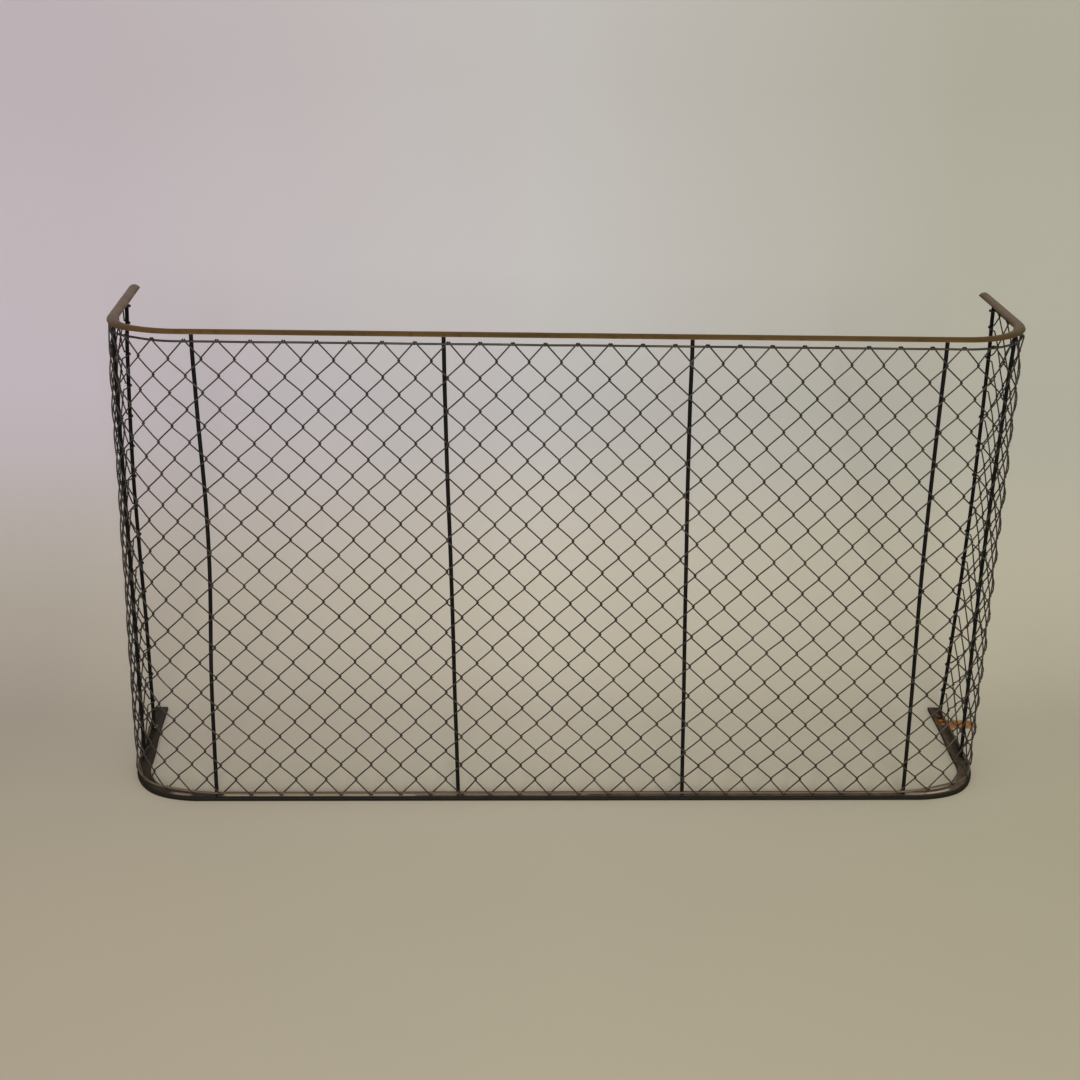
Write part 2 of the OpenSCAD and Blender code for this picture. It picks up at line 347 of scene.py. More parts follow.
def dress(piece: bpy.types.Object, material: bpy.types.Material, slot: Slot, *nodes: str) -> None:
    """Gives a new piece its material, body and the nodes that it stands for.

    Args:
        piece: The new object.
        material: Its finish.
        slot: Its slot; not used.
        nodes: Names of the CAD nodes that it replaces.
    """
    piece.data.materials.append(material)
    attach(piece, BODY)
    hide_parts(*nodes)
    LOG.info("%s: %d faces, replaces %s", piece.name, len(piece.data.polygons), ", ".join(nodes))


# Shader nodes


class Board:
    """Places nodes in a tree and wires them."""

    def __init__(self, tree: bpy.types.NodeTree) -> None:
        """Starts on a tree."""
        self.tree = tree
        self.placed = 0

    def add(self, kind: str, settings: dict[str, object] | None = None, **inputs: object) -> bpy.types.Node:
        """Adds a node.

        Args:
            kind: Name of the node type, without its ShaderNode prefix.
            settings: Properties of the node.
            inputs: Sockets by name, with underscores for blanks, and a value or an output for each.

        Returns:
            The node.
        """
        node = self.tree.nodes.new(kind if kind.startswith("NodeGroup") else "ShaderNode" + kind)
        node.location = (self.placed % 8 * 220, -(self.placed // 8) * 320)
        self.placed += 1
        for key, value in (settings or {}).items():
            setattr(node, key, value)
        for key, value in inputs.items():
            self.plug(value, node.inputs[key.replace("_", " ")])
        return node

    def plug(self, value: object, target: Socket) -> None:
        """Wires an output to a socket, or sets the socket to a value."""
        if isinstance(value, Socket):
            self.tree.links.new(value, target)
        elif target.type == "RGBA" and len(value) == 3:
            target.default_value = (*value, 1.0)
        else:
            target.default_value = value

    def mix(self, mask: object, low: object, high: object) -> Socket:
        """Mixes two colours by a mask."""
        node = self.add("Mix", {"data_type": "RGBA"})
        self.plug(mask, node.inputs[0])
        self.plug(low, node.inputs[6])
        self.plug(high, node.inputs[7])
        return node.outputs[2]

    def maths(self, operation: str, a: object, b: object = 0.0, clamp: bool = False) -> Socket:
        """Works out a sum of two values."""
        node = self.add("Math", {"operation": operation, "use_clamp": clamp})
        self.plug(a, node.inputs[0])
        self.plug(b, node.inputs[1])
        return node.outputs[0]

    def times(self, a: object, b: object, clamp: bool = False) -> Socket:
        """Multiplies two values."""
        return self.maths("MULTIPLY", a, b, clamp)

    def plus(self, a: object, b: object) -> Socket:
        """Adds two values."""
        return self.maths("ADD", a, b)

    def ramp(self, value: Socket, low: object, high: object) -> Socket:
        """Eases a value from 0 at the low end to 1 at the high one."""
        node = self.add("MapRange", {"interpolation_type": "SMOOTHSTEP"}, Value=value)
        self.plug(low, node.inputs["From Min"])
        self.plug(high, node.inputs["From Max"])
        return node.outputs[0]

    def place(self) -> Socket:
        """The point of the surface, in the piece's own frame."""
        return self.add("TexCoord").outputs["Object"]

    def cloud(self, place: Socket, scale: object, detail: float, rough: float = 0.5) -> Socket:
        """Noise round a point, from 0 to 1."""
        return self.add("TexNoise", Vector=place, Scale=scale, Detail=detail, Roughness=rough).outputs["Fac"]

    def group(self, tree: bpy.types.NodeTree, **inputs: object) -> bpy.types.Node:
        """Places a node group with its own values."""
        node = self.add("Group", {"node_tree": tree})
        for key, value in inputs.items():
            self.plug(value, node.inputs[key.replace("_", " ")])
        return node


class Effects:
    """The effects that several finishes share, each a node group that is built once."""

    def __init__(self) -> None:
        """Builds the groups."""
        self.mottle = self.build_mottle()
        self.streaks = self.build_streaks()
        self.wear = self.build_marked("wear")
        # Pale mask: on the brass a dusting with painted sheen, on the rail painted reflection on bare
        # stretches
        self.pale = self.build_marked("pale")
        self.bloom = self.build_bloom()
        # Paler up-facing tone: a dusting with painted sheen
        self.facing_up = self.build_facing_up()
        self.skin = self.build_skin()

    @staticmethod
    def start(
        name: str, numbers: dict[str, float], spots: Iterable[str], result: str
    ) -> tuple[Board, dict[str, Socket], Socket]:
        """Opens a new group.

        Args:
            name: Name of the group.
            numbers: Its number inputs, with the value of each.
            spots: Its vector inputs.
            result: Its output.

        Returns:
            The board, the inputs by name, and the socket that the result goes to.
        """
        tree = bpy.data.node_groups.new(name, "ShaderNodeTree")
        for key, value in numbers.items():
            made = tree.interface.new_socket(key, in_out="INPUT", socket_type="NodeSocketFloat")
            made.default_value = value
        for key in spots:
            tree.interface.new_socket(key, in_out="INPUT", socket_type="NodeSocketVector")
        tree.interface.new_socket(result, in_out="OUTPUT", socket_type="NodeSocketFloat")
        board = Board(tree)
        inside, outside = board.add("NodeGroupInput"), board.add("NodeGroupOutput")
        return board, {s.name: s for s in inside.outputs if s.name}, outside.inputs[0]

    def build_mottle(self) -> bpy.types.NodeTree:
        """Soft patches, sharper or softer by the two ends of their range."""
        numbers = {"Scale": 20.0, "From": 0.4, "To": 0.6, "Seed": 0.0}
        board, given, result = self.start("mottle", numbers, (), "Mask")
        shifted = board.add("VectorMath", {"operation": "ADD"})
        board.plug(board.place(), shifted.inputs[0])
        board.plug(given["Seed"], shifted.inputs[1])
        cloud = board.cloud(shifted.outputs[0], given["Scale"], 5.0, 0.6)
        board.plug(board.ramp(cloud, given["From"], given["To"]), result)
        return board.tree

    def build_streaks(self) -> bpy.types.NodeTree:
        """Fine upright streaks, as of soot or rust that has run down."""
        numbers = {"Scale": 60.0, "From": 0.4, "To": 0.6}
        board, given, result = self.start("streaks", numbers, (), "Mask")
        squeezed = board.add("Mapping", Vector=board.place(), Scale=(1.0, 1.0, 0.12))
        cloud = board.cloud(squeezed.outputs[0], given["Scale"], 4.0)
        board.plug(board.ramp(cloud, given["From"], given["To"]), result)
        return board.tree

    def build_marked(self, name: str) -> bpy.types.NodeTree:
        """A mask that is marked on a piece, broken up by fine noise.

        Args:
            name: Name of the mask.

        Returns:
            The group.
        """
        numbers = {"Amount": 1.0, "Scale": 90.0, "Raggedness": 0.6}
        board, given, result = self.start(name, numbers, (), "Mask")
        marked = board.add("Attribute", {"attribute_name": name}).outputs["Fac"]
        cloud = board.cloud(board.place(), given["Scale"], 6.0, 0.65)
        ragged = board.times(board.maths("SUBTRACT", cloud, 0.5), given["Raggedness"])
        there = board.times(marked, given["Amount"])
        bent = board.plus(there, board.times(ragged, board.maths("MINIMUM", there, 0.5)))
        board.plug(board.times(bent, 1.0, clamp=True), result)
        return board.tree

    def build_bloom(self) -> bpy.types.NodeTree:
        """Rust that spreads from one spot."""
        numbers = {"Reach": 0.08, "Scale": 60.0}
        board, given, result = self.start("rust bloom", numbers, ("Centre",), "Mask")
        place = board.place()
        gap = board.add("VectorMath", {"operation": "DISTANCE"})
        board.plug(place, gap.inputs[0])
        board.plug(given["Centre"], gap.inputs[1])
        away = board.maths("DIVIDE", gap.outputs["Value"], given["Reach"])
        near = board.maths("SUBTRACT", 1.0, away, clamp=True)
        cloud = board.cloud(place, given["Scale"], 6.0, 0.7)
        lifted = board.plus(near, board.maths("SUBTRACT", cloud, 0.55))
        within = board.maths("GREATER_THAN", near, 0.0)
        board.plug(board.times(board.ramp(lifted, 0.25, 0.75), within), result)
        return board.tree

    def build_facing_up(self) -> bpy.types.NodeTree:
        """Paler tone on what faces up: a dusting, with painted sheen where up-facing faces catch the light.
        """
        numbers = {"Amount": 0.5, "Scale": 70.0}
        board, given, result = self.start("settled dust", numbers, (), "Mask")
        up = board.add("SeparateXYZ", Vector=board.add("NewGeometry").outputs["Normal"]).outputs["Z"]
        there = board.times(board.ramp(up, 0.45, 0.95), given["Amount"])
        cloud = board.cloud(board.place(), given["Scale"], 6.0, 0.6)
        board.plug(board.times(there, board.plus(cloud, 0.25), clamp=True), result)
        return board.tree

    def build_skin(self) -> bpy.types.NodeTree:
        """Height of a forged or drawn metal's skin: broad hammering, fine grain and pits."""
        numbers = {"Hammering": 0.3, "Grain": 0.5, "Pits": 0.4, "Scale": 1.0}
        board, given, result = self.start("metal skin", numbers, (), "Height")
        place = board.place()

        def cloud(scale: float, detail: float) -> Socket:
            """Noise of its own scale."""
            return board.cloud(place, board.times(given["Scale"], scale), detail)

        cells = board.add("TexVoronoi", Vector=place, Scale=board.times(given["Scale"], 420.0))
        pit = board.times(board.maths("LESS_THAN", cells.outputs["Distance"], 0.22), cloud(160.0, 2.0))
        total = board.times(cloud(45.0, 2.0), given["Hammering"])
        total = board.plus(total, board.times(cloud(700.0, 4.0), given["Grain"]))
        total = board.maths("SUBTRACT", total, board.times(pit, given["Pits"]))
        board.plug(total, result)
        return board.tree


@dataclass(frozen=True)
class Finish:
    """What every finish has: its name, gloss and the depth of its skin in m."""

    name: str = "metal"
    metallic: float = 0.0
    rough: float = 0.65
    rough_worn: float = 0.55
    rough_play: float = 0.14
    skin_depth: float = 0.0001
    hammering: float = 0.5
    grain: float = 0.4
    pits: float = 0.4
    shine: float = 0.5

    def colour(self, board: Board, effects: Effects) -> tuple[Socket, Socket]:
        """Gives the colour, and the mask of what is worn smoother."""
        raise NotImplementedError

    def material(self, effects: Effects) -> bpy.types.Material:
        """Builds the material.

        Args:
            effects: The shared node groups.

        Returns:
            The material.
        """
        made = bpy.data.materials.new(self.name)
        made.use_nodes = True
        made.node_tree.nodes.clear()
        board = Board(made.node_tree)
        colour, worn = self.colour(board, effects)
        skin = board.group(effects.skin, Hammering=self.hammering, Grain=self.grain, Pits=self.pits)
        relief = board.add("Bump", Height=skin.outputs[0], Strength=1.0, Distance=self.skin_depth)
        patchy = board.group(effects.mottle, Scale=38.0, From=0.3, To=0.7, Seed=3.1).outputs[0]
        uneven = board.plus(board.times(patchy, self.rough_play), self.rough - self.rough_play / 2)
        rough = board.add("MapRange", Value=worn)
        board.plug(uneven, rough.inputs["To Min"])
        board.plug(self.rough_worn, rough.inputs["To Max"])
        shader = board.add("BsdfPrincipled", Base_Color=colour, Roughness=rough.outputs[0])
        board.plug(relief.outputs[0], shader.inputs["Normal"])
        board.plug(self.metallic, shader.inputs["Metallic"])
        board.plug(self.shine, shader.inputs["Specular IOR Level"])
        board.plug(shader.outputs[0], board.add("OutputMaterial").inputs["Surface"])
        return made


@dataclass(frozen=True)
class AgedBrass(Finish):
    """Unpolished brown brass, darker in patches, rubbed brighter along the crown, and paler where it faces
    up, from a dusting with painted sheen.
    """

    name: str = "aged_brass"
    metallic: float = 0.85
    rough: float = 0.5
    rough_worn: float = 0.4
    skin_depth: float = 0.00015
    hammering: float = 0.35
    grain: float = 0.15
    pits: float = 0.1
    dull: Colour = (0.098, 0.054, 0.012)
    dark: Colour = (0.042, 0.023, 0.006)
    rubbed: Colour = (0.135, 0.082, 0.024)
    # Paler tone of up-facing faces: a dusting with painted sheen of the light they catch
    dust_and_sheen: Colour = (0.235, 0.18, 0.13)

    def colour(self, board: Board, effects: Effects) -> tuple[Socket, Socket]:
        """Gives the colour, and the mask of what is worn smoother."""
        broad = board.group(effects.mottle, Scale=7.0, From=0.35, To=0.68, Seed=1.0).outputs[0]
        spots = board.group(effects.mottle, Scale=85.0, From=0.52, To=0.66, Seed=5.0).outputs[0]
        worn = board.group(effects.wear, Amount=0.75, Scale=55.0, Raggedness=0.9).outputs[0]
        # Up-facing faces paler, mostly on the returns: a dusting with painted sheen
        dust_and_sheen = board.group(effects.facing_up, Amount=0.85, Scale=60.0).outputs[0]
        dust_and_sheen_share = board.group(effects.pale, Amount=1.0, Scale=60.0, Raggedness=0.3).outputs[0]
        dust_and_sheen = board.times(dust_and_sheen, dust_and_sheen_share)
        base = board.mix(board.times(broad, 0.55), self.dull, self.dark)
        base = board.mix(board.times(spots, 0.5), base, self.dark)
        base = board.mix(worn, base, self.rubbed)
        return board.mix(dust_and_sheen, base, self.dust_and_sheen), worn


@dataclass(frozen=True)
class BlackIron(Finish):
    """Blacked wrought iron with a little rust in its pores."""

    name: str = "blacked_iron"
    skin_depth: float = 0.00025
    grain: float = 0.35
    shine: float = 0.08
    black: Colour = (0.0035, 0.0035, 0.003)
    bare: Colour = (0.014, 0.012, 0.01)
    rust: Colour = (0.03, 0.014, 0.006)
    foot_rust: Vector = field(default_factory=lambda: Vector((0.6, 0.236, 0.0)))

    def colour(self, board: Board, effects: Effects) -> tuple[Socket, Socket]:
        """Gives the colour, and the mask of what is worn smoother."""
        flecks = board.group(effects.mottle, Scale=150.0, From=0.58, To=0.7, Seed=2.0).outputs[0]
        runs = board.group(effects.streaks, Scale=90.0, From=0.5, To=0.75).outputs[0]
        worn = board.group(effects.wear, Amount=0.7, Scale=120.0, Raggedness=1.0).outputs[0]
        bloom = board.group(effects.bloom, Centre=self.foot_rust, Reach=0.045, Scale=70.0).outputs[0]
        base = board.mix(board.times(runs, 0.3), self.black, self.bare)
        base = board.mix(board.times(flecks, 0.45), base, self.rust)
        base = board.mix(worn, base, self.bare)
        return board.mix(bloom, base, self.rust), worn


@dataclass(frozen=True)
class RailIron(Finish):
    """Blacked flat iron, its top worn to brown, and rusty beside the lug; bare stretches of the top are
    painted pale as reflections of the backdrop.
    """

    name: str = "worn_rail_iron"
    rough_worn: float = 0.6
    skin_depth: float = 0.0003
    pits: float = 0.6
    shine: float = 0.14
    black: Colour = (0.006, 0.0048, 0.0026)
    brown: Colour = (0.1, 0.074, 0.044)
    # Paler tone of up-facing faces: a faint dusting with painted sheen
    dust_and_sheen: Colour = (0.2, 0.17, 0.13)
    # Cream of bare worn metal on the top: painted reflection of the bright backdrop
    pale: Colour = (0.46, 0.37, 0.26)
    rust: Colour = (0.1, 0.045, 0.014)
    lug_spot: Vector = field(default_factory=lambda: Vector((0.609, 0.223, 0.004)))

    def colour(self, board: Board, effects: Effects) -> tuple[Socket, Socket]:
        """Gives the colour, and the mask of what is worn smoother."""
        broad = board.group(effects.mottle, Scale=11.0, From=0.35, To=0.62, Seed=7.0).outputs[0]
        fine = board.group(effects.mottle, Scale=95.0, From=0.42, To=0.66, Seed=4.0).outputs[0]
        worn = board.group(effects.wear, Amount=1.0, Scale=75.0, Raggedness=1.1).outputs[0]
        bloom = board.group(effects.bloom, Centre=self.lug_spot, Reach=0.04, Scale=55.0).outputs[0]
        # Faint paler tone on up-facing faces: a dusting with painted sheen
        dust_and_sheen = board.group(effects.facing_up, Amount=0.03, Scale=80.0).outputs[0]
        # Bare stretches of the top, painted pale as reflections of the backdrop
        bare_and_sheen = board.group(effects.pale, Amount=1.0, Scale=170.0, Raggedness=0.9).outputs[0]
        brown = board.mix(board.times(fine, 0.45), self.brown, self.black)
        brown = board.mix(board.times(board.times(broad, fine), 0.4), brown, self.rust)
        base = board.mix(worn, self.black, brown)
        base = board.mix(dust_and_sheen, base, self.dust_and_sheen)
        base = board.mix(bare_and_sheen, base, self.pale)
        return board.mix(bloom, base, self.rust), worn


@dataclass(frozen=True)
class NetWire(Finish):
    """Dull drawn wire, gone dark, with brown rust here and there."""

    name: str = "netting_wire"
    metallic: float = 0.45
    rough: float = 0.52
    rough_worn: float = 0.42
    hammering: float = 0.3
    dark: Colour = (0.018, 0.015, 0.011)
    brown: Colour = (0.045, 0.031, 0.019)
    grey: Colour = (0.065, 0.057, 0.047)

    def colour(self, board: Board, effects: Effects) -> tuple[Socket, Socket]:
        """Gives the colour, and the mask of what is worn smoother."""
        broad = board.group(effects.mottle, Scale=8.0, From=0.4, To=0.65, Seed=9.0).outputs[0]
        fine = board.group(effects.mottle, Scale=170.0, From=0.48, To=0.68, Seed=6.0).outputs[0]
        worn = board.group(effects.wear, Amount=0.6, Scale=140.0, Raggedness=1.0).outputs[0]
        base = board.mix(board.times(broad, 0.7), self.dark, self.brown)
        base = board.mix(board.times(fine, 0.5), base, self.brown)
        return board.mix(worn, base, self.grey), worn


@dataclass(frozen=True)
class BrownWire(NetWire):
    """The lower edge wire, which has gone brown all over."""

    name: str = "lower_wire"
    metallic: float = 0.1
    rough: float = 0.7
    rough_worn: float = 0.6
    shine: float = 0.3
    dark: Colour = (0.07, 0.05, 0.03)
    brown: Colour = (0.13, 0.09, 0.05)
    grey: Colour = (0.17, 0.13, 0.09)


@dataclass(frozen=True)
class Rust(Finish):
    """Thick orange rust, darker in its hollows."""

    name: str = "lug_rust"
    rough: float = 0.92
    rough_worn: float = 0.85
    skin_depth: float = 0.0006
    hammering: float = 0.6
    grain: float = 0.9
    pits: float = 0.8
    orange: Colour = (0.4, 0.16, 0.022)
    brown: Colour = (0.25, 0.1, 0.018)
    dark: Colour = (0.09, 0.04, 0.012)

    def colour(self, board: Board, effects: Effects) -> tuple[Socket, Socket]:
        """Gives the colour, and the mask of what is worn smoother."""
        broad = board.group(effects.mottle, Scale=55.0, From=0.38, To=0.62, Seed=1.5).outputs[0]
        fine = board.group(effects.mottle, Scale=330.0, From=0.45, To=0.7, Seed=8.0).outputs[0]
        worn = board.group(effects.wear, Amount=0.2, Scale=200.0, Raggedness=1.0).outputs[0]
        base = board.mix(broad, self.orange, self.brown)
        return board.mix(board.times(fine, 0.7), base, self.dark), worn


# The guard


@dataclass(frozen=True)
class TopRail:
    """The half-oval brass sheath, open along a slot underneath, and its iron core. Lengths in mm."""

    plan: Plan
    rods: "Rods"
    width: float = 16.0
    height: float = 5.0
    sheet: float = 0.8
    slot: float = 9.0
    z: float = 668.0
    depth: float = 254.0
    dent: float = 0.13
    rim: float = 0.22
    arc_steps: int = 20
    core_play: float = 0.1
    core_short: float = 0.05
    pinch: float = 3.5
    pinch_s: float = -572.0
    pinch_spread: float = 36.0
    pinch_reach: float = 8.0
    crease: float = 50.0

    def bend(self, s: float) -> float:
        """How far the rail's line runs outside its even one: the left corner is bent more sharply."""
        if s >= self.pinch_reach - self.plan.straight:
            return 0.0
        return self.pinch * bump(s, self.pinch_s, self.pinch_spread)

    def core(self, material: bpy.types.Material) -> None:
        """Makes the core strip inside the sheath, with a hole for each rod's tenon.

        Args:
            material: Its finish.
        """
        former = Former("top_rail_strip")
        crown = self.arc(self.sheet + self.core_play, 10)
        stations = self.plan.stations(self.depth - self.core_short, 30.0)
        former.sweep(self.plan, stations, self.bend, lambda s: crown, self.z)
        piece = former.mesh(self.crease)
        cutter = Former("core_cutter")
        rows = [(z, self.rods.tenon_r + self.rods.play) for z in (self.z - 1.0, self.z + self.height)]
        for shape in self.rods.shapes:
            cutter.revolve(rows, lambda z, s=shape: self.rods.centre(s, z), 32)
        carve(piece, cutter.mesh(), self.crease)
        mark(piece, "wear", lambda x, y, z: 0.2 * smooth(ripple(x, y, z, 30.0, 2.0)))
        dress(piece, material, Slot.BLACK, "top_rail_core")

    def arc(self, inset: float, steps: int) -> list[tuple[float, float]]:
        """Points of the crown, taken in by an inset, from the inner side to the outer one."""
        r = (self.width**2 / 4 + self.height**2) / (2 * self.height)
        mid = self.height - r
        floor = inset if inset > 0 else self.rim
        half = math.acos((floor - mid) / (r - inset))
        spread = np.linspace(-half, half, steps + 1)
        return [((r - inset) * math.sin(a), mid + (r - inset) * math.cos(a)) for a in spread]

    def section(self, s: float) -> list[tuple[float, float]]:
        """The sheath's section at a distance round the U, dented a little.

        Args:
            s: Distance from the middle of the front.

        Returns:
            Offsets out and up of each point.
        """
        w, lip = self.width / 2, self.slot / 2
        crown = []
        for out, up in self.arc(0.0, self.arc_steps):
            push = self.dent * (ripple(s, out, up, 38.0, 3.0) - 0.35) * smooth(up / self.height)
            crown.append((out * (1 + push / w), up + push))
        edge = [(w - 0.06, 0.08), (w - 0.3, 0.0), (lip + 0.15, 0.0), (lip, 0.15), (lip, self.sheet)]
        inner = self.arc(self.sheet, 8)
        return crown + edge + list(reversed(inner)) + [(-out, up) for out, up in reversed(edge)]

    def build(self, material: bpy.types.Material) -> None:
        """Makes the sheath.

        Args:
            material: Its finish.
        """
        former = Former("top_rail_sheath")
        former.sweep(self.plan, self.plan.stations(self.depth, 9.0), self.bend, self.section, self.z)
        piece = former.mesh(self.crease)
        crown_z = self.z + self.height

        def rubbed(x: float, y: float, z: float) -> float:
            """More wear near the crown, in patches."""
            high = smooth((z - crown_z + 2.2) / 2.2)
            return high * (0.75 + 0.35 * ripple(x, y, 0, 90.0, 1.0))

        def dust_and_sheen_share(x: float, y: float, z: float) -> float:
            """Share of the paler up-facing tone, a dusting with painted sheen: full on the returns, little
            along the front.
            """
            return 0.12 + 0.88 * smooth((y - 10) / 90)

        mark(piece, "wear", rubbed)
        # Paler up-facing tone, a dusting with painted sheen, kept mostly to the returns
        mark(piece, "pale", dust_and_sheen_share)
        dress(piece, material, Slot.BRASS, "top_rail_brass")


@dataclass(frozen=True)
class RodShape:
    """One rod's foot and head in plan, its bow to the right, and the height of the bow's middle, in mm."""

    node: str
    foot: tuple[float, float]
    head: tuple[float, float]
    bow: float = 0.0
    bow_z: float = 385.0
    bow_spread: float = 190.0


@dataclass(frozen=True)
class Rods:
    """The round iron rods, riveted into both rails. Lengths in mm."""

    guard_h: float = 673.0
    rod_r: float = 2.7
    tenon_r: float = 2.1
    shoulder_low: float = 5.1
    shoulder_high: float = 668.8
    tenon_top: float = 671.6
    end_sink: float = 0.4
    flare: float = 1.0
    play: float = 0.1
    soft: float = 0.35
    uneven: float = 0.012
    sides: int = 28
    shapes: tuple[RodShape, ...] = (
        RodShape("front_rod_1", (-482, 0), (-487, 0), 7.6, 390.0, 165.0),
        RodShape("front_rod_2", (-145, 0), (-168, 0), -0.6, 520.0, 140.0),
        RodShape("front_rod_3", (171, 0), (151, 0), -1.8, 420.0, 240.0),
        RodShape("front_rod_4", (487, 0), (482, 0), -3.8, 375.0, 200.0),
        RodShape("left_corner_rod", (-600, 111), (-598.65, 79.08), -1.6, 600.0, 264.0),
        RodShape("left_back_rod", (-600, 200), (-600, 188), -6.1, 420.0, 213.0),
        RodShape("right_corner_rod", (600, 112), (599.95, 92), -4.8, 349.0, 275.0),
        RodShape("right_back_rod", (600, 239), (600, 204), 6.0, 336.0, 264.0),
    )

    def centre(self, shape: RodShape, z: float) -> Vector:
        """Middle of a rod at a height, with its bow and a forged rod's slight waves.

        Args:
            shape: The rod.
            z: The height.

        Returns:
            The point in mm.
        """
        t = z / self.guard_h
        x = shape.foot[0] + (shape.head[0] - shape.foot[0]) * t
        y = shape.foot[1] + (shape.head[1] - shape.foot[1]) * t
        free = smooth((z - 8) / 70) * smooth((self.guard_h - 8 - z) / 70)
        x += free * shape.bow * bump(z, shape.bow_z, shape.bow_spread)
        x += free * 0.5 * ripple(z, x, 0, 120.0, 4.0)
        y += free * 0.3 * (ripple(z, x, 9, 140.0, 6.0) + 0.4)
        return Vector((x, y, z))

    def profile(self) -> list[tuple[float, float]]:
        """Height and radius from the foot's riveted head to the tenon's top."""
        low, high, foot = self.shoulder_low, self.shoulder_high, self.end_sink
        r, thin, soft = self.rod_r, self.tenon_r, self.soft
        rows = [(foot - 0.25, 1.2), (foot - 0.12, 2.2), (foot, thin + self.flare), (foot + self.flare, thin)]
        rows += [(low - 0.02, thin), (low, r - soft), (low + soft, r)]
        rows += [(z, r) for z in np.linspace(low + 6, high - 6, 84)]
        return rows + [(high - soft, r), (high, r - soft), (high + 0.02, thin), (self.tenon_top, thin)]

    def holes(self, former: Former) -> None:
        """Adds the countersunk tenon holes to a cutter."""
        r = self.tenon_r + self.play
        top = self.end_sink + self.flare
        for shape in self.shapes:
            rows = [(-1.0, r + top + 1.0), (top, r), (self.shoulder_low + 1.0, r)]
            former.revolve(rows, lambda z, s=shape: self.centre(s, z), 32)

    def build(self, material: bpy.types.Material) -> None:
        """Makes all the rods.

        Args:
            material: Their finish.
        """
        for shape in self.shapes:
            former = Former(shape.node.replace("_rod", "_upright"))
            rings = []
            for z, r in self.profile():
                c = self.centre(shape, z)
                ring = []
                for a in turns(self.sides):
                    forged = ripple(40 * math.cos(a), 40 * math.sin(a), z + c.x, 30.0, 2.0)
                    out = r * (1 + self.uneven * forged)
                    ring.append((c.x + math.cos(a) * out, c.y + math.sin(a) * out, c.z))
                rings.append(ring)
            former.loft(np.array(rings))
            piece = former.mesh(45.0)

            def rubbed(x: float, y: float, z: float) -> float:
                """A little wear at each shoulder and here and there along the rod."""
                ends = bump(z, self.shoulder_low, 6.0) + bump(z, self.shoulder_high, 6.0)
                return 0.35 * ends + 0.25 * smooth(ripple(x, y, z, 60.0, 7.0) * 1.6)

            mark(piece, "wear", rubbed)
            dress(piece, material, Slot.BLACK, shape.node)


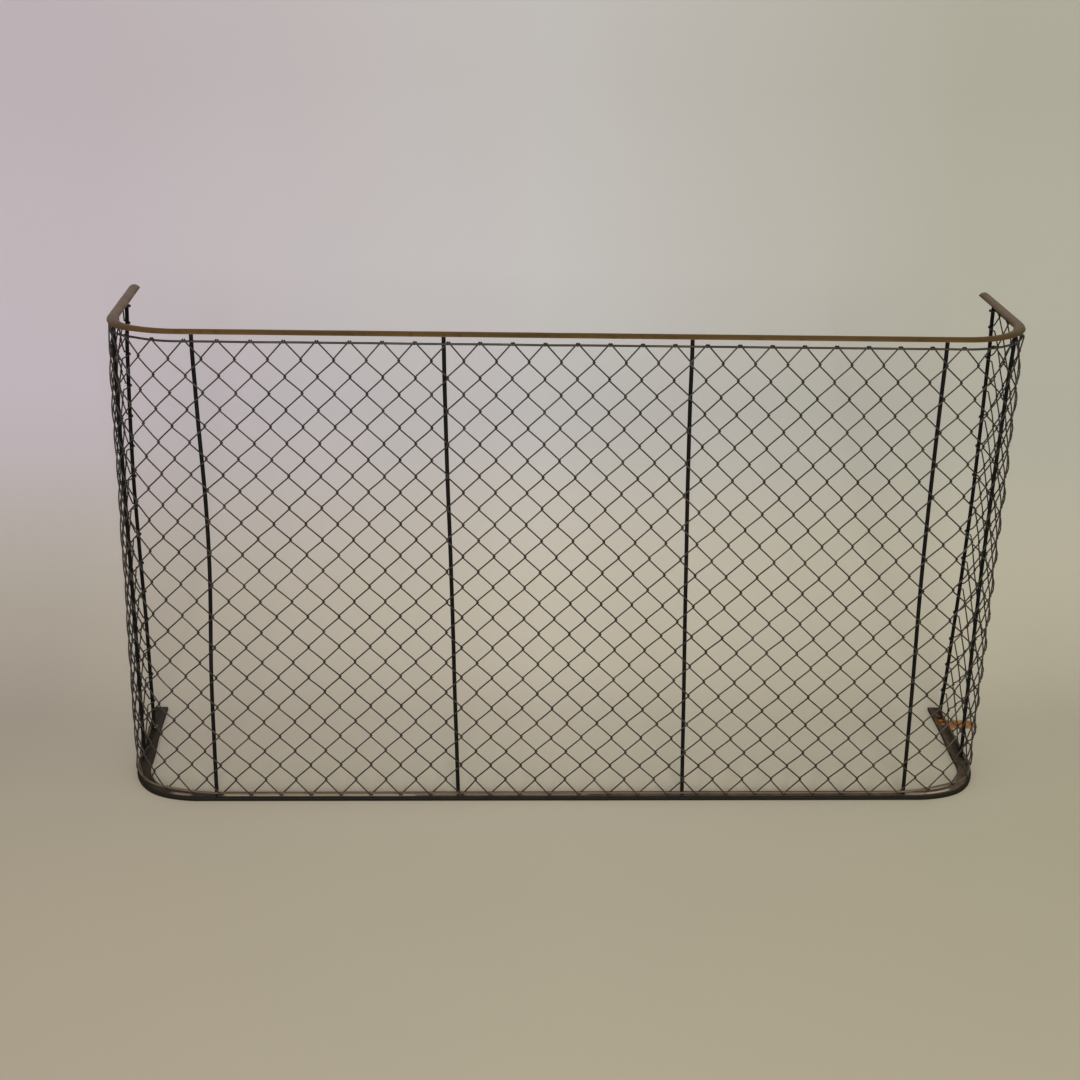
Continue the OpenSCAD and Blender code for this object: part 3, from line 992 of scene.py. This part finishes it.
@dataclass(frozen=True)
class Lug:
    """The rusted fixing lug and its two rivets. Lengths in mm."""

    y: float = 223.0
    in_x: float = 593.5
    hole_x: float = 641.5
    width: float = 24.0
    thick: float = 2.5
    hole_r: float = 3.25
    rivet_r: float = 2.0
    rivet_gap: float = 12.0
    rail_x: float = 600.0
    rail_t: float = 5.0
    flare: float = 1.0
    play: float = 0.1
    soft: float = 0.5
    rusted_off: float = 0.012
    ragged: float = 0.02

    def outline(self, turn: float, grow: float = 0.0) -> float:
        """Distance from the screw hole to the lug's edge.

        Args:
            turn: Direction, 0 along +X.
            grow: How far the edge is let out.

        Returns:
            The distance in mm.
        """
        half, back = self.width / 2 + grow, self.hole_x - self.in_x + grow
        c, s = math.cos(turn), math.sin(turn)
        if c >= 0:
            return half
        return min(back / -c, half / max(abs(s), 1e-6))

    def rivet_spots(self) -> list[tuple[float, float]]:
        """Where the rivets stand."""
        return [(self.rail_x, self.y + side * self.rivet_gap / 2) for side in (-1, 1)]

    def rivet_rows(self, grow: float, over: float) -> list[tuple[float, float]]:
        """Height and radius of a rivet, or of its hole if it is grown and runs over."""
        r, f, t = self.rivet_r + grow, self.flare + over, self.rail_t
        return [(-over, r + f), (self.flare, r), (t - self.flare, r), (t + over, r + f)]

    def pocket(self, former: Former) -> None:
        """Adds the lug's recess to a cutter."""
        flat = []
        for a in turns(96):
            edge = self.outline(a, self.play)
            flat.append((self.hole_x + edge * math.cos(a), self.y + edge * math.sin(a)))
        former.loft(np.array([[(x, y, z) for x, y in flat] for z in (-1.0, self.thick + self.play)]))

    def rivet_holes(self, former: Former) -> None:
        """Adds the rivet holes to a cutter."""
        for x, y in self.rivet_spots():
            former.revolve(self.rivet_rows(self.play, 1.0), upright(x, y), 32)

    def build(self, material: bpy.types.Material) -> None:
        """Makes the lug and its rivets.

        Args:
            material: Their finish.
        """
        former = Former("fixing_tab")
        rings = []
        top = self.thick
        for a in turns(120):
            c, s = math.cos(a), math.sin(a)
            nibbled = self.ragged * abs(ripple(30 * c, 30 * s, 0, 9.0, 5.0))
            edge = self.outline(a) * (1 - self.rusted_off - nibbled)
            rim = edge - self.soft
            hole = self.hole_r * (1 + 0.03 * ripple(20 * c, 20 * s, 5, 6.0))
            spans = [(hole, 0.3), (hole, 1.2), (hole, top - 0.4), (hole + 0.4, top)]
            spans += [(hole + (rim - hole) * t, top) for t in np.linspace(0.06, 1.0, 14)]
            spans += [(edge - 0.1, top - 0.25), (edge, top - 0.8), (edge, 0.8)]
            spans += [(edge - 0.15, 0.2), (rim, 0.0)]
            spans += [(hole + (rim - hole) * t, 0.0) for t in (0.7, 0.4, 0.15)] + [(hole + 0.3, 0.0)]
            ring = []
            for d, z in spans:
                x, y = self.hole_x + d * c, self.y + d * s
                outside = smooth((x - self.rail_x - 10) / 3)
                flake = (0.35 * ripple(x, y, 0, 4.0, 2.0) + 0.2 * ripple(x, y, 3, 1.6, 5.0)) * outside
                ring.append((x, y, z + (flake - 0.25 * outside if z > 1.5 else 0.0)))
            rings.append(ring)
        former.loft(np.array(rings), loop=True)
        piece = former.mesh(60.0)
        cutter = Former("lug_cutter")
        self.rivet_holes(cutter)
        carve(piece, cutter.mesh(), 60.0)
        dress(piece, material, Slot.RUST, "fixing_lug")
        heads = Former("tab_rivets")
        rows = self.rivet_rows(0.0, 0.0)
        rows = [(0.0, 1.4), *rows, (self.rail_t + 0.22, 2.4), (self.rail_t + 0.4, 1.3)]
        for x, y in self.rivet_spots():
            heads.revolve(rows, upright(x, y), 28)
        dress(heads.mesh(45.0), material, Slot.RUST, "lug_rivets")


@dataclass(frozen=True)
class Patch:
    """A stretch of the rail's top where the black has gone and the bare metal is painted pale as a reflection
    of the backdrop, by distance round the U and across, in mm.
    """

    start: float
    end: float
    inner: float
    outer: float
    strength: float

    def mask(self, s: float, out: float) -> float:
        """Strength at a place on the rail."""
        lengthwise = smooth((s - self.start) / 8) * smooth((self.end - s) / 8)
        across = smooth((out - self.inner) / 1.6) * smooth((self.outer - out) / 1.6)
        return self.strength * lengthwise * across


@dataclass(frozen=True)
class BottomRail:
    """The flat iron rail on the hearth, with softened edges and holes for the rods. Lengths in mm."""

    plan: Plan
    rods: Rods
    lug: Lug
    width: float = 19.0
    thick: float = 5.0
    bevel: float = 0.8
    depth: float = 274.0
    # Bare worn stretches of the top, painted pale as reflections of the backdrop: start, end, inner and outer
    # edge, strength
    patches: tuple[Patch, ...] = (
        Patch(-478.0, -200.0, -2.5, 4.5, 0.9),
        Patch(-210.0, 40.0, -2.5, 3.0, 0.45),
        Patch(488.0, 522.0, -3.5, 3.5, 0.55),
        Patch(516.0, 562.0, -3.0, 2.5, 1.2),
        Patch(-548.0, -514.0, -3.0, 4.0, 0.45),
    )
    bulge: float = 3.0
    bulge_before: float = 85.0
    bulge_spread: float = 32.0
    waist: float = 4.0
    waist_past: float = 15.0
    waist_spread: float = 55.0
    side_wave: float = 0.12
    top_wave: float = 0.14
    worn_off: float = 0.05

    def bend(self, s: float) -> float:
        """How far the rail's line runs outside its even one: out within the corners, and in beyond them."""
        past = abs(s) - self.plan.corner_end(0)
        out = self.bulge * bump(past, -self.bulge_before, self.bulge_spread)
        return out - self.waist * bump(past, self.waist_past, self.waist_spread)

    def section(self, s: float) -> list[tuple[float, float]]:
        """The bar's section at a distance round the U, with a rolled bar's slight waves.

        Args:
            s: Distance from the middle of the front.

        Returns:
            Offsets out and up of each point.
        """
        w, t, b = self.width / 2, self.thick, self.bevel
        half = [(w - 0.35, 0.0), (w - 0.1, 0.1), (w, 0.4), (w, t / 2), (w, t - b - 0.3)]
        half += [(w - 0.08, t - b + 0.05), (w - b / 2, t - b / 2 + 0.1), (w - b, t - 0.02), (w - b - 0.5, t)]
        half += [(w * f, t) for f in (0.76, 0.6, 0.44, 0.28, 0.1)]
        under = [(-w * f, 0.0) for f in (0.7, 0.35)] + [(0.0, 0.0)] + [(w * f, 0.0) for f in (0.35, 0.7)]
        points = []
        for out, up in half + [(-out, up) for out, up in reversed(half)] + under:
            way = math.copysign(1.0, out)
            side = abs(self.side_wave * ripple(s, 40 * way, 0, 30.0, 8.0) * smooth(abs(out) - w + 1.5))
            sink = self.top_wave * (ripple(s, out, 0, 16.0, 5.0) - 0.6) if up > t / 2 else 0.0
            points.append((out + way * (side - self.worn_off), up + sink * smooth(up / t)))
        return points

    def build(self, material: bpy.types.Material) -> None:
        """Makes the rail.

        Args:
            material: Its finish.
        """
        former = Former("hearth_rail")
        former.sweep(self.plan, self.plan.stations(self.depth, 6.0, 30), self.bend, self.section)
        piece = former.mesh()
        cutter = Former("rail_cutter")
        self.rods.holes(cutter)
        self.lug.rivet_holes(cutter)
        carve(piece, cutter.mesh())
        recess = Former("recess_cutter")
        self.lug.pocket(recess)
        carve(piece, recess.mesh())

        def rubbed(x: float, y: float, z: float) -> float:
            """The top is worn but for its outer edge, and less so on the left and along the returns."""
            s, out = self.plan.find(x, y)
            out -= self.bend(s)
            top = smooth((z - self.thick + 0.7) / 0.6)
            along = 0.25 + 0.75 * smooth((s + 520) / 240) * (1 - 0.45 * smooth((s - 600) / 60))
            across = smooth((6.5 - out) / 2.5)
            if abs(s) > self.plan.corner_end(0):
                across *= 0.5 + 0.5 * smooth((-out - 1) / 3)
            return top * along * across * (0.8 + 0.4 * ripple(x, y, 0, 70.0, 2.0))

        def bare_and_sheen(x: float, y: float, z: float) -> float:
            """Pale stretches of the top: bare metal, with its reflection of the backdrop painted in."""
            s, out = self.plan.find(x, y)
            worn = max(p.mask(s, out - self.bend(s)) for p in self.patches)
            return smooth((z - self.thick + 0.7) / 0.6) * worn

        mark(piece, "wear", rubbed)
        # Painted reflection on the bare stretches of the top
        mark(piece, "pale", bare_and_sheen)
        dress(piece, material, Slot.RAIL, "bottom_rail")


@dataclass(frozen=True)
class Sag:
    """A stretch of netting that hangs lower or further to the right. Lengths in mm."""

    s: float
    z: float
    wide: float
    tall: float
    drop: float
    right: float = 0.0

    def weight(self, s: float, z: float) -> float:
        """How much a place takes part."""
        return bump(s, self.s, self.wide) * bump(z, self.z, self.tall)


@dataclass(frozen=True)
class Lie:
    """How the netting and its edge wires lie, away from their even places. Lengths in mm."""

    upper_z: float = 658.0
    lower_z: float = 9.5
    sags: tuple[Sag, ...] = (
        Sag(310.0, 300.0, 190.0, 210.0, 7.5),
        Sag(-260.0, 190.0, 120.0, 190.0, -3.0),
        Sag(-490.0, 390.0, 60.0, 90.0, -4.0),
        Sag(-40.0, 480.0, 210.0, 130.0, -1.2, 1.2),
        Sag(120.0, 120.0, 330.0, 90.0, 1.2, 0.6),
        Sag(-340.0, 400.0, 130.0, 260.0, 0.0, 2.6),
        Sag(320.0, 420.0, 110.0, 220.0, 0.0, 2.4),
        Sag(470.0, 0.0, 130.0, 75.0, 0.0, -4.0),
        Sag(-560.0, 480.0, 50.0, 90.0, 0.0, 5.0),
        Sag(-560.0, 10.0, 70.0, 110.0, 0.0, 4.5),
    )
    lifts: tuple[tuple[float, float, float], ...] = ((545.0, 45.0, 7.2), (-540.0, 40.0, 4.6))

    def right(self, s: float, z: float) -> float:
        """How far the netting hangs to the right of its even place."""
        return sum(g.right * g.weight(s, z) for g in self.sags)

    def shift(self, s: float, z: float) -> tuple[float, float, float]:
        """Finds the shift of a point of the netting.

        Args:
            s: Distance along the netting from the middle of the front.
            z: Height.

        Returns:
            Shift along the netting, outwards and up.
        """
        free = smooth((z - self.lower_z) / 70) * smooth((self.upper_z - z) / 70)
        up = -free * sum(g.drop * g.weight(s, z) for g in self.sags)
        low = smooth(1 - (z - self.lower_z) / 60)
        up += low * sum(rise * bump(s, at, spread) for at, spread, rise in self.lifts)
        up += 0.35 * ripple(s, 0, 0, 75.0, 3.0) * smooth((z - 300) / 300)
        along = free * 0.9 * ripple(s, 0, z, 42.0, 1.0) + self.right(s, z)
        up += free * 0.9 * ripple(s, 5, z, 42.0, 2.0)
        out = free * (1.3 + 1.3 * ripple(s, 9, z, 80.0, 4.0)) + 0.5 * free * ripple(s, 2, z, 24.0, 5.0)
        pressed = smooth((-492 - s) / 20) * smooth((s + 552) / 30) * smooth((430 - z) / 80)
        return along, max(out, 0.0) - 4.0 * free * pressed, up


@dataclass(frozen=True)
class Netting:
    """The woven diamond netting with its edge wires. Lengths in mm.

    Each strand is a wire wound flat: its legs lie by turns in an outer and an inner plane, and its
    bends hook through those of its neighbours. The ends are coiled round the edge wires.
    """

    plan: Plan
    rods: Rods
    lie: Lie
    wire_r: float = 1.0
    edge_r: float = 1.5
    off: float = 4.9
    edge_off: float = 4.4
    lap: float = 2.2
    layer: float = 1.05
    coil_turns: float = 0.52
    coil_out: float = 2.3
    coil_in: float = 1.05
    coil_gap: float = 0.04
    stiff: float = 8.0
    left_y: float = 200.0
    right_y: float = 208.0
    strands: int = 74
    rows: int = 29

    hook_gap: float = 0.1
    hook_start: float = -20.0
    hook_turn: float = 220.0
    hook_rise: float = 4.0
    hook_reach: float = 4.6
    rod_gap: float = 0.3
    crease: float = 60.0

    @property
    def coil_r(self) -> float:
        """Radius of a coil round an edge wire."""
        return self.edge_r + self.wire_r + self.coil_gap

    @property
    def corner_end(self) -> float:
        """Distance along the netting at which it leaves a corner."""
        return self.plan.corner_end(self.off)

    @property
    def left_len(self) -> float:
        """Length of the netting left of the middle."""
        return self.corner_end + self.left_y - self.plan.corner_r

    @property
    def right_len(self) -> float:
        """Length of the netting right of the middle."""
        return self.corner_end + self.right_y - self.plan.corner_r

    @property
    def strand_w(self) -> float:
        """Distance between two columns of bends."""
        return (self.left_len + self.right_len) / self.strands

    @property
    def row_h(self) -> float:
        """Distance between two rows of bends."""
        return (self.lie.upper_z - self.lie.lower_z) / self.rows

    def column(self, c: int) -> float:
        """Distance of a column of bends from the middle of the front."""
        return c * self.strand_w - self.left_len

    def bends_left(self, k: int, r: int) -> bool:
        """Whether strand k has its bend of row r on its left."""
        return (k + r + round(self.left_len / self.strand_w)) % 2 == 0

    def side_rods(self, s: float) -> tuple[RodShape, RodShape]:
        """The corner rod and the back rod on the side of a place."""
        return self.rods.shapes[6:8] if s > 0 else self.rods.shapes[4:6]

    def stretch(self, s: float, z: float) -> tuple[float, float]:
        """Finds how the back rod's lean draws the netting of a return.

        Args:
            s: A distance along the netting, which picks the side.
            z: The height.

        Returns:
            Length of netting that gives way, and how far its end is drawn back.
        """
        drawn = self.rods.centre(self.side_rods(s)[1], z).y - (self.right_y if s > 0 else self.left_y)
        return (self.right_len if s > 0 else self.left_len) - self.stiff - self.corner_end, drawn

    def drawn(self, s: float, z: float) -> tuple[float, float]:
        """Finds how far the rods of a return draw the netting along and push it out.

        Args:
            s: Distance along the netting.
            z: The height.

        Returns:
            Shift along the netting and outwards.
        """
        length, drawn = self.stretch(s, z)
        share = min(max((abs(s) - self.corner_end) / length, 0.0), 1.0)
        middles = [self.rods.centre(rod, z) for rod in self.side_rods(s)]
        corner, back = [self.plan.find(c.x, c.y, self.off) for c in middles]
        pushed = (1 - share) * max(corner[1], 0.0) * bump(s, corner[0], 40.0)
        return math.copysign(share, s) * drawn, share * back[1] + pushed

    def rod_places(self, z: float) -> list[float]:
        """Distance of each rod at a height, along the netting as it would lie with upright back rods."""
        places = [-self.left_len, self.right_len]
        for shape in self.rods.shapes:
            c = self.rods.centre(shape, z)
            s = self.plan.find(c.x, c.y, self.off)[0]
            if shape.node.endswith("corner_rod") and abs(s) > self.corner_end:
                length, drawn = self.stretch(s, z)
                s = math.copysign(self.corner_end + (abs(s) - self.corner_end) / (1 + drawn / length), s)
            if not shape.node.endswith("back_rod"):
                places.append(s)
        return places

    def eye(self, c: int, side: int, z: float) -> float:
        """Finds the middle of the coil beside a column, clear of the rods.

        Args:
            c: The column.
            side: 1 for the coil right of the column, -1 for the left one.
            z: Height of the edge wire.

        Returns:
            Its distance along the netting.
        """
        at = self.column(c)
        hang = self.lie.right(at, z)
        beside = (self.coil_out + self.coil_in) / 2
        room = self.rods.rod_r + (self.coil_out - self.coil_in) / 2 + self.wire_r + self.rod_gap
        gap = min(((p - at - hang) * side for p in self.rod_places(z)), key=abs)
        if gap > beside:
            return at + side * min(beside, gap - room)
        if gap >= -beside:
            return at + side * max(beside, gap + room)
        return at + side * max(beside, gap + room + 2 * beside)

    def coil(self, k: int, r: int) -> np.ndarray:
        """The coil at one end of a strand, from the strand's leg to its free end.

        Args:
            k: The strand.
            r: Row 0 for the top, or the last row.

        Returns:
            Points as distance along the netting, distance out and height.
        """
        top = r == 0
        left = self.bends_left(k, r)
        side = 1 if left else -1
        z = self.lie.upper_z if top else self.lie.lower_z
        middle = self.eye(k if left else k + 1, side, z)
        outer = left == top
        begin = 0.0 if outer else math.pi
        way = (1 if outer else -1) * (1 if top else -1)
        points = []
        for t in np.linspace(0, self.coil_turns, 14):
            a = begin + way * t * 2 * math.pi
            s = middle + side * (self.coil_out - self.coil_in) * (0.5 - smooth(t / 0.3))
            points.append((s, self.edge_off + self.coil_r * math.cos(a), z + self.coil_r * math.sin(a)))
        return np.array(points)

    def winding(self, k: int) -> list[tuple[float, float, float]]:
        """The strand between its first and last bend.

        Args:
            k: The strand.

        Returns:
            Points as distance along the netting, distance out and height.
        """
        a, lap, start = self.layer, self.lap, self.column(k)
        flat = self.strand_w + lap - 2 * a
        half = flat + math.pi * a
        quarter = QUARTER * a
        steps = [quarter * t for t in (0.0, 0.35, 0.7, 1.0)]
        steps += [quarter + flat * t for t in (0.25, 0.5, 0.75)]
        steps += [half - quarter * t for t in (1.0, 0.7, 0.35)]
        points = []
        for r in range(self.rows):
            rightward = self.bends_left(k, r)
            for l in steps:
                if (r == 0 and l < half - quarter - 0.01) or (r == self.rows - 1 and l > quarter + 0.01):
                    continue
                if l < quarter:
                    lat, out = a * (1 - math.cos(l / a)), a * math.sin(l / a)
                elif l <= half - quarter:
                    lat, out = a + l - quarter, a
                else:
                    lat, out = 2 * a + flat - a * (1 - math.cos((half - l) / a)), a * math.sin((half - l) / a)
                lat = lat - lap / 2 if rightward else self.strand_w + lap / 2 - lat
                z = self.lie.upper_z - (r + l / half) * self.row_h
                points.append((start + lat, self.off + (out if rightward else -out), z))
        return points

    def hooked(self, line: list[tuple[float, float, float]], right: bool) -> list[tuple[float, float, float]]:
        """Leads the outer bends of the netting's first or last strand round the back rod.

        Args:
            line: The strand's points.
            right: Whether this is the right end.

        Returns:
            The points with hooks in place of the outer bends.
        """
        end = self.right_len if right else -self.left_len
        side = 1 if right else -1
        hook_r = self.rods.rod_r + self.wire_r + self.hook_gap
        made: list[tuple[float, float, float]] = []
        bend: list[tuple[float, float, float]] = []

        def close() -> None:
            """Turns the points of one bend into a hook."""
            if not bend:
                return
            mid = sum(p[2] for p in bend) / len(bend)
            for t in np.linspace(0, 1, 16):
                a = math.radians(self.hook_start + self.hook_turn * t)
                z = mid + self.hook_rise * (0.5 - t)
                made.append((end + side * hook_r * math.sin(a), hook_r * math.cos(a), z))
            bend.clear()

        for point in line:
            if side * (point[0] - end) > -self.hook_reach:
                bend.append(point)
            else:
                close()
                made.append(point)
        close()
        return made

    def soften(self, leg: np.ndarray, joint: np.ndarray, coil: np.ndarray) -> list[np.ndarray]:
        """Rounds off the corner where a leg meets its coil.

        Args:
            leg: A point on the leg.
            joint: The point where they meet.
            coil: A point on the coil.

        Returns:
            Points from the leg to the coil.
        """
        way = (leg - joint) / np.linalg.norm(leg - joint)
        near = joint + way * 2.6
        return [(1 - t) ** 2 * near + 2 * t * (1 - t) * joint + t**2 * coil for t in (0.0, 0.3, 0.6, 0.9)]

    def strand(self, k: int) -> np.ndarray:
        """One strand from its upper to its lower free end.

        Args:
            k: The strand.

        Returns:
            Points in mm.
        """
        body = self.winding(k)
        if k in (0, self.strands - 1):
            body = self.hooked(body, k > 0)
        top, bottom = self.coil(k, 0), self.coil(k, self.rows)
        body_points = [np.array(p) for p in body]
        line = list(top[:0:-1])[:-1]
        line += list(reversed(self.soften(body_points[0], top[0], top[1])))
        line += body_points
        line += self.soften(body_points[-1], bottom[0], bottom[1])
        line += list(bottom[2:])
        return np.array([self.settle(*p) for p in line])

    def settle(self, s: float, out: float, z: float) -> tuple[float, float, float]:
        """Moves a point as the netting lies, and finds it in space."""
        along, outwards, up = self.lie.shift(s, z)
        near_end = smooth((min(s + self.left_len, self.right_len - s) - 4) / 30)
        drawn, pushed = self.drawn(s, z)
        x, y = self.plan.place(s + along * near_end + drawn, out + outwards * near_end + pushed, self.off)
        return x, y, z + up

    def edge_wire(self, name: str, z: float, material: bpy.types.Material, node: str) -> None:
        """Makes one edge wire, hooked round the back rods.

        Args:
            name: Name of the piece.
            z: Its height.
            material: Its finish.
            node: The CAD node that it replaces.
        """
        points = []
        for s in np.arange(-self.left_len, self.right_len, 7.0):
            points.append(self.settle(s, self.edge_off, z))
        for side in (1, -1):
            rod = self.rods.centre(self.side_rods(side)[1], z)
            level = z + 0.35 * ripple(side * 770, 0, 0, 75.0, 3.0)
            hook = []
            for a in np.radians(np.linspace(4, 250, 22)):
                x, y = self.edge_off * math.cos(a), self.edge_off * math.sin(a)
                hook.append((rod.x + side * x, rod.y + y, level))
            points = points + hook if side > 0 else list(reversed(hook)) + points
        former = Former(name)
        former.tube(np.array(points), self.edge_r, 12)
        piece = former.mesh(self.crease)
        mark(piece, "wear", lambda x, y, z: 0.3 * smooth(ripple(x, y, z, 50.0, 3.0) * 2))
        dress(piece, material, Slot.WIRE, node)

    def build(self, material: bpy.types.Material, lower: bpy.types.Material) -> None:
        """Makes the six stretches of netting and both edge wires.

        Args:
            material: Finish of the netting and the upper edge wire.
            lower: Finish of the lower edge wire.
        """
        straight, end = self.plan.straight, self.corner_end
        stretches = {
            "net_left": (-self.left_len - 1, -end),
            "net_left_corner": (-end, -straight),
            "net_front_left": (-straight, 0.0),
            "net_front_right": (0.0, straight),
            "net_right_corner": (straight, end),
            "net_right": (end, self.right_len + 1),
        }
        for node, (low, high) in stretches.items():
            former = Former(node.replace("net_", "netting_"))
            for k in range(self.strands):
                if low <= self.column(k) + self.strand_w / 2 < high:
                    former.tube(self.strand(k), self.wire_r)
            piece = former.mesh(self.crease)
            mark(piece, "wear", lambda x, y, z: smooth(ripple(x, y, z, 35.0, 6.0) * 1.8 - 0.2))
            dress(piece, material, Slot.WIRE, node)
        self.edge_wire("upper_selvedge_wire", self.lie.upper_z, material, "upper_edge_wire")
        self.edge_wire("lower_selvedge_wire", self.lie.lower_z, lower, "lower_edge_wire")


# The studio


@dataclass(frozen=True)
class Studio:
    """Floor, backdrop, lights and camera. Lengths in m, angles in radians."""

    eye: Spot = (-0.15314, -2.2268, 1.25324)
    yaw: float = -0.051378
    pitch: float = 0.368752
    roll: float = 0.023857
    lens: float = 59.822
    shift_y: float = -0.00139
    floor: Colour = (0.42, 0.38, 0.285)
    floor_tints: tuple[Colour, Colour] = ((0.92, 0.9, 0.91), (0.93, 0.95, 0.9))
    # Painted light: a brighter floor tone towards the back and the middle, where the paper turns up towards
    # the lamp; the floor near the camera stays darker
    painted_lit_floor: Colour = (0.52, 0.475, 0.385)
    painted_lit_tints: tuple[Colour, Colour] = ((0.68, 0.67, 0.69), (0.79, 0.81, 0.76))
    inner_from: float = -0.3
    inner_to: float = 0.4
    wall: Colour = (0.425, 0.412, 0.41)
    wall_tints: tuple[Colour, Colour] = ((0.96, 0.89, 0.98), (0.8, 0.805, 0.68))
    smudge: Colour = (0.3, 0.27, 0.2)
    rise: float = 0.32
    tint_x: float = 0.8
    sky: Colour = (1.0, 0.98, 0.95)
    sky_strength: float = 0.82
    lamp_spot: Spot = (0.1, -8.0, 3.0)
    lamp_aim: Spot = (0.0, 0.3, 0.4)
    lamp_size: float = 2.2
    lamp_watts: float = 530.0
    wall_y: float = 1.1
    cove_r: float = 0.85
    half_w: float = 7.0
    front_y: float = -6.0
    wall_top: float = 4.5

    def camera(self) -> None:
        """Places the camera at the photograph's angle."""
        data = bpy.data.cameras.new("camera")
        data.lens, data.shift_y = self.lens, self.shift_y
        data.sensor_width, data.clip_end = 36.0, 60.0
        made = bpy.data.objects.new("camera", data)
        ahead = Vector((-math.sin(self.yaw) * math.cos(self.pitch),
                        math.cos(self.yaw) * math.cos(self.pitch), -math.sin(self.pitch)))
        right = Vector((math.cos(self.yaw), math.sin(self.yaw), 0.0))
        up = right.cross(ahead)
        tilted = right * math.cos(self.roll) + up * math.sin(self.roll)
        upright = up * math.cos(self.roll) - right * math.sin(self.roll)
        turn = Matrix((tilted, upright, -ahead)).transposed().to_4x4()
        made.matrix_world = Matrix.Translation(self.eye) @ turn
        bpy.context.scene.collection.objects.link(made)
        bpy.context.scene.camera = made

    def backdrop(self, effects: Effects) -> None:
        """Makes the floor and the wall behind it, in one sheet that is seen from the front only.

        Args:
            effects: The shared node groups.
        """
        rows = [(self.front_y, 0.0)]
        bend_y = self.wall_y - self.cove_r
        for a in np.linspace(0, QUARTER, 25):
            rows.append((bend_y + self.cove_r * math.sin(a), self.cove_r * (1 - math.cos(a))))
        rows.append((self.wall_y, self.wall_top))
        verts = [(x, y, z) for y, z in rows for x in (-self.half_w, self.half_w)]
        faces = [(2 * i, 2 * i + 1, 2 * i + 3, 2 * i + 2) for i in range(len(rows) - 1)]
        data = bpy.data.meshes.new("backdrop")
        data.from_pydata(verts, [], faces)
        data.shade_smooth()
        sheet = bpy.data.objects.new("backdrop", data)
        bpy.context.scene.collection.objects.link(sheet)
        data.materials.append(self.paper(effects))

    def paper(self, effects: Effects) -> bpy.types.Material:
        """The backdrop's pale paper, warmer on the floor, with painted light that brightens the floor towards
        the back and the middle, and see-through from behind.

        Args:
            effects: The shared node groups.

        Returns:
            The material.
        """
        made = bpy.data.materials.new("backdrop_paper")
        made.use_nodes = True
        made.node_tree.nodes.clear()
        board = Board(made.node_tree)
        place = board.add("SeparateXYZ", Vector=board.place())
        left = board.maths("DIVIDE", place.outputs["X"], -self.tint_x, clamp=True)
        right = board.maths("DIVIDE", place.outputs["X"], self.tint_x, clamp=True)

        def tone(middle: Colour, tints: tuple[Colour, Colour]) -> Socket:
            """A tone that shifts towards both sides."""
            sides = [tuple(m * t for m, t in zip(middle, tint)) for tint in tints]
            return board.mix(right, board.mix(left, middle, sides[0]), sides[1])

        # Painted light: the floor brightens towards the back, most in the middle
        painted_light_share = board.ramp(place.outputs["Y"], self.inner_from, self.inner_to)
        floor = tone(self.floor, self.floor_tints)
        floor = board.mix(painted_light_share, floor, tone(self.painted_lit_floor, self.painted_lit_tints))
        rise = board.ramp(place.outputs["Z"], 0.0, self.rise)
        base = board.mix(rise, floor, tone(self.wall, self.wall_tints))
        cloud = board.group(effects.mottle, Scale=1.6, From=0.2, To=0.8, Seed=2.0).outputs[0]
        base = board.mix(board.times(cloud, 0.08), base, self.smudge)
        shader = board.add("BsdfPrincipled", Base_Color=base, Roughness=0.85, Specular_IOR_Level=0.2)
        both = board.add("MixShader")
        board.plug(board.add("NewGeometry").outputs["Backfacing"], both.inputs[0])
        board.plug(shader.outputs[0], both.inputs[1])
        board.plug(board.add("BsdfTransparent").outputs[0], both.inputs[2])
        board.plug(both.outputs[0], board.add("OutputMaterial").inputs["Surface"])
        return made

    def light(self) -> None:
        """Lights the guard softly from all round, and with a square lamp from the front."""
        world = bpy.data.worlds.new("room")
        bpy.context.scene.world = world
        world.use_nodes = True
        shade = world.node_tree.nodes["Background"]
        shade.inputs["Color"].default_value = (*self.sky, 1.0)
        shade.inputs["Strength"].default_value = self.sky_strength
        data = bpy.data.lights.new("front_lamp", "AREA")
        data.size, data.energy = self.lamp_size, self.lamp_watts
        lamp = bpy.data.objects.new("front_lamp", data)
        lamp.location = self.lamp_spot
        ahead = Vector(self.lamp_aim) - Vector(self.lamp_spot)
        lamp.rotation_euler = ahead.to_track_quat("-Z", "Y").to_euler()
        bpy.context.scene.collection.objects.link(lamp)

    def build(self, effects: Effects) -> None:
        """Sets up the whole studio.

        Args:
            effects: The shared node groups.
        """
        self.camera()
        self.backdrop(effects)
        self.light()
        bpy.context.scene.view_settings.view_transform = "Standard"


def main() -> None:
    """Builds the guard and its studio."""
    logging.basicConfig(level=logging.INFO, format="%(name)s: %(message)s")
    effects = Effects()
    black = BlackIron().material(effects)
    plan, rods, lug = Plan(), Rods(), Lug()
    Studio().build(effects)
    top = TopRail(plan, rods)
    top.build(AgedBrass().material(effects))
    top.core(black)
    rods.build(black)
    BottomRail(plan, rods, lug).build(RailIron().material(effects))
    lug.build(Rust().material(effects))
    Netting(plan, rods, Lie()).build(NetWire().material(effects), BrownWire().material(effects))


if __name__ == "__main__":
    main()
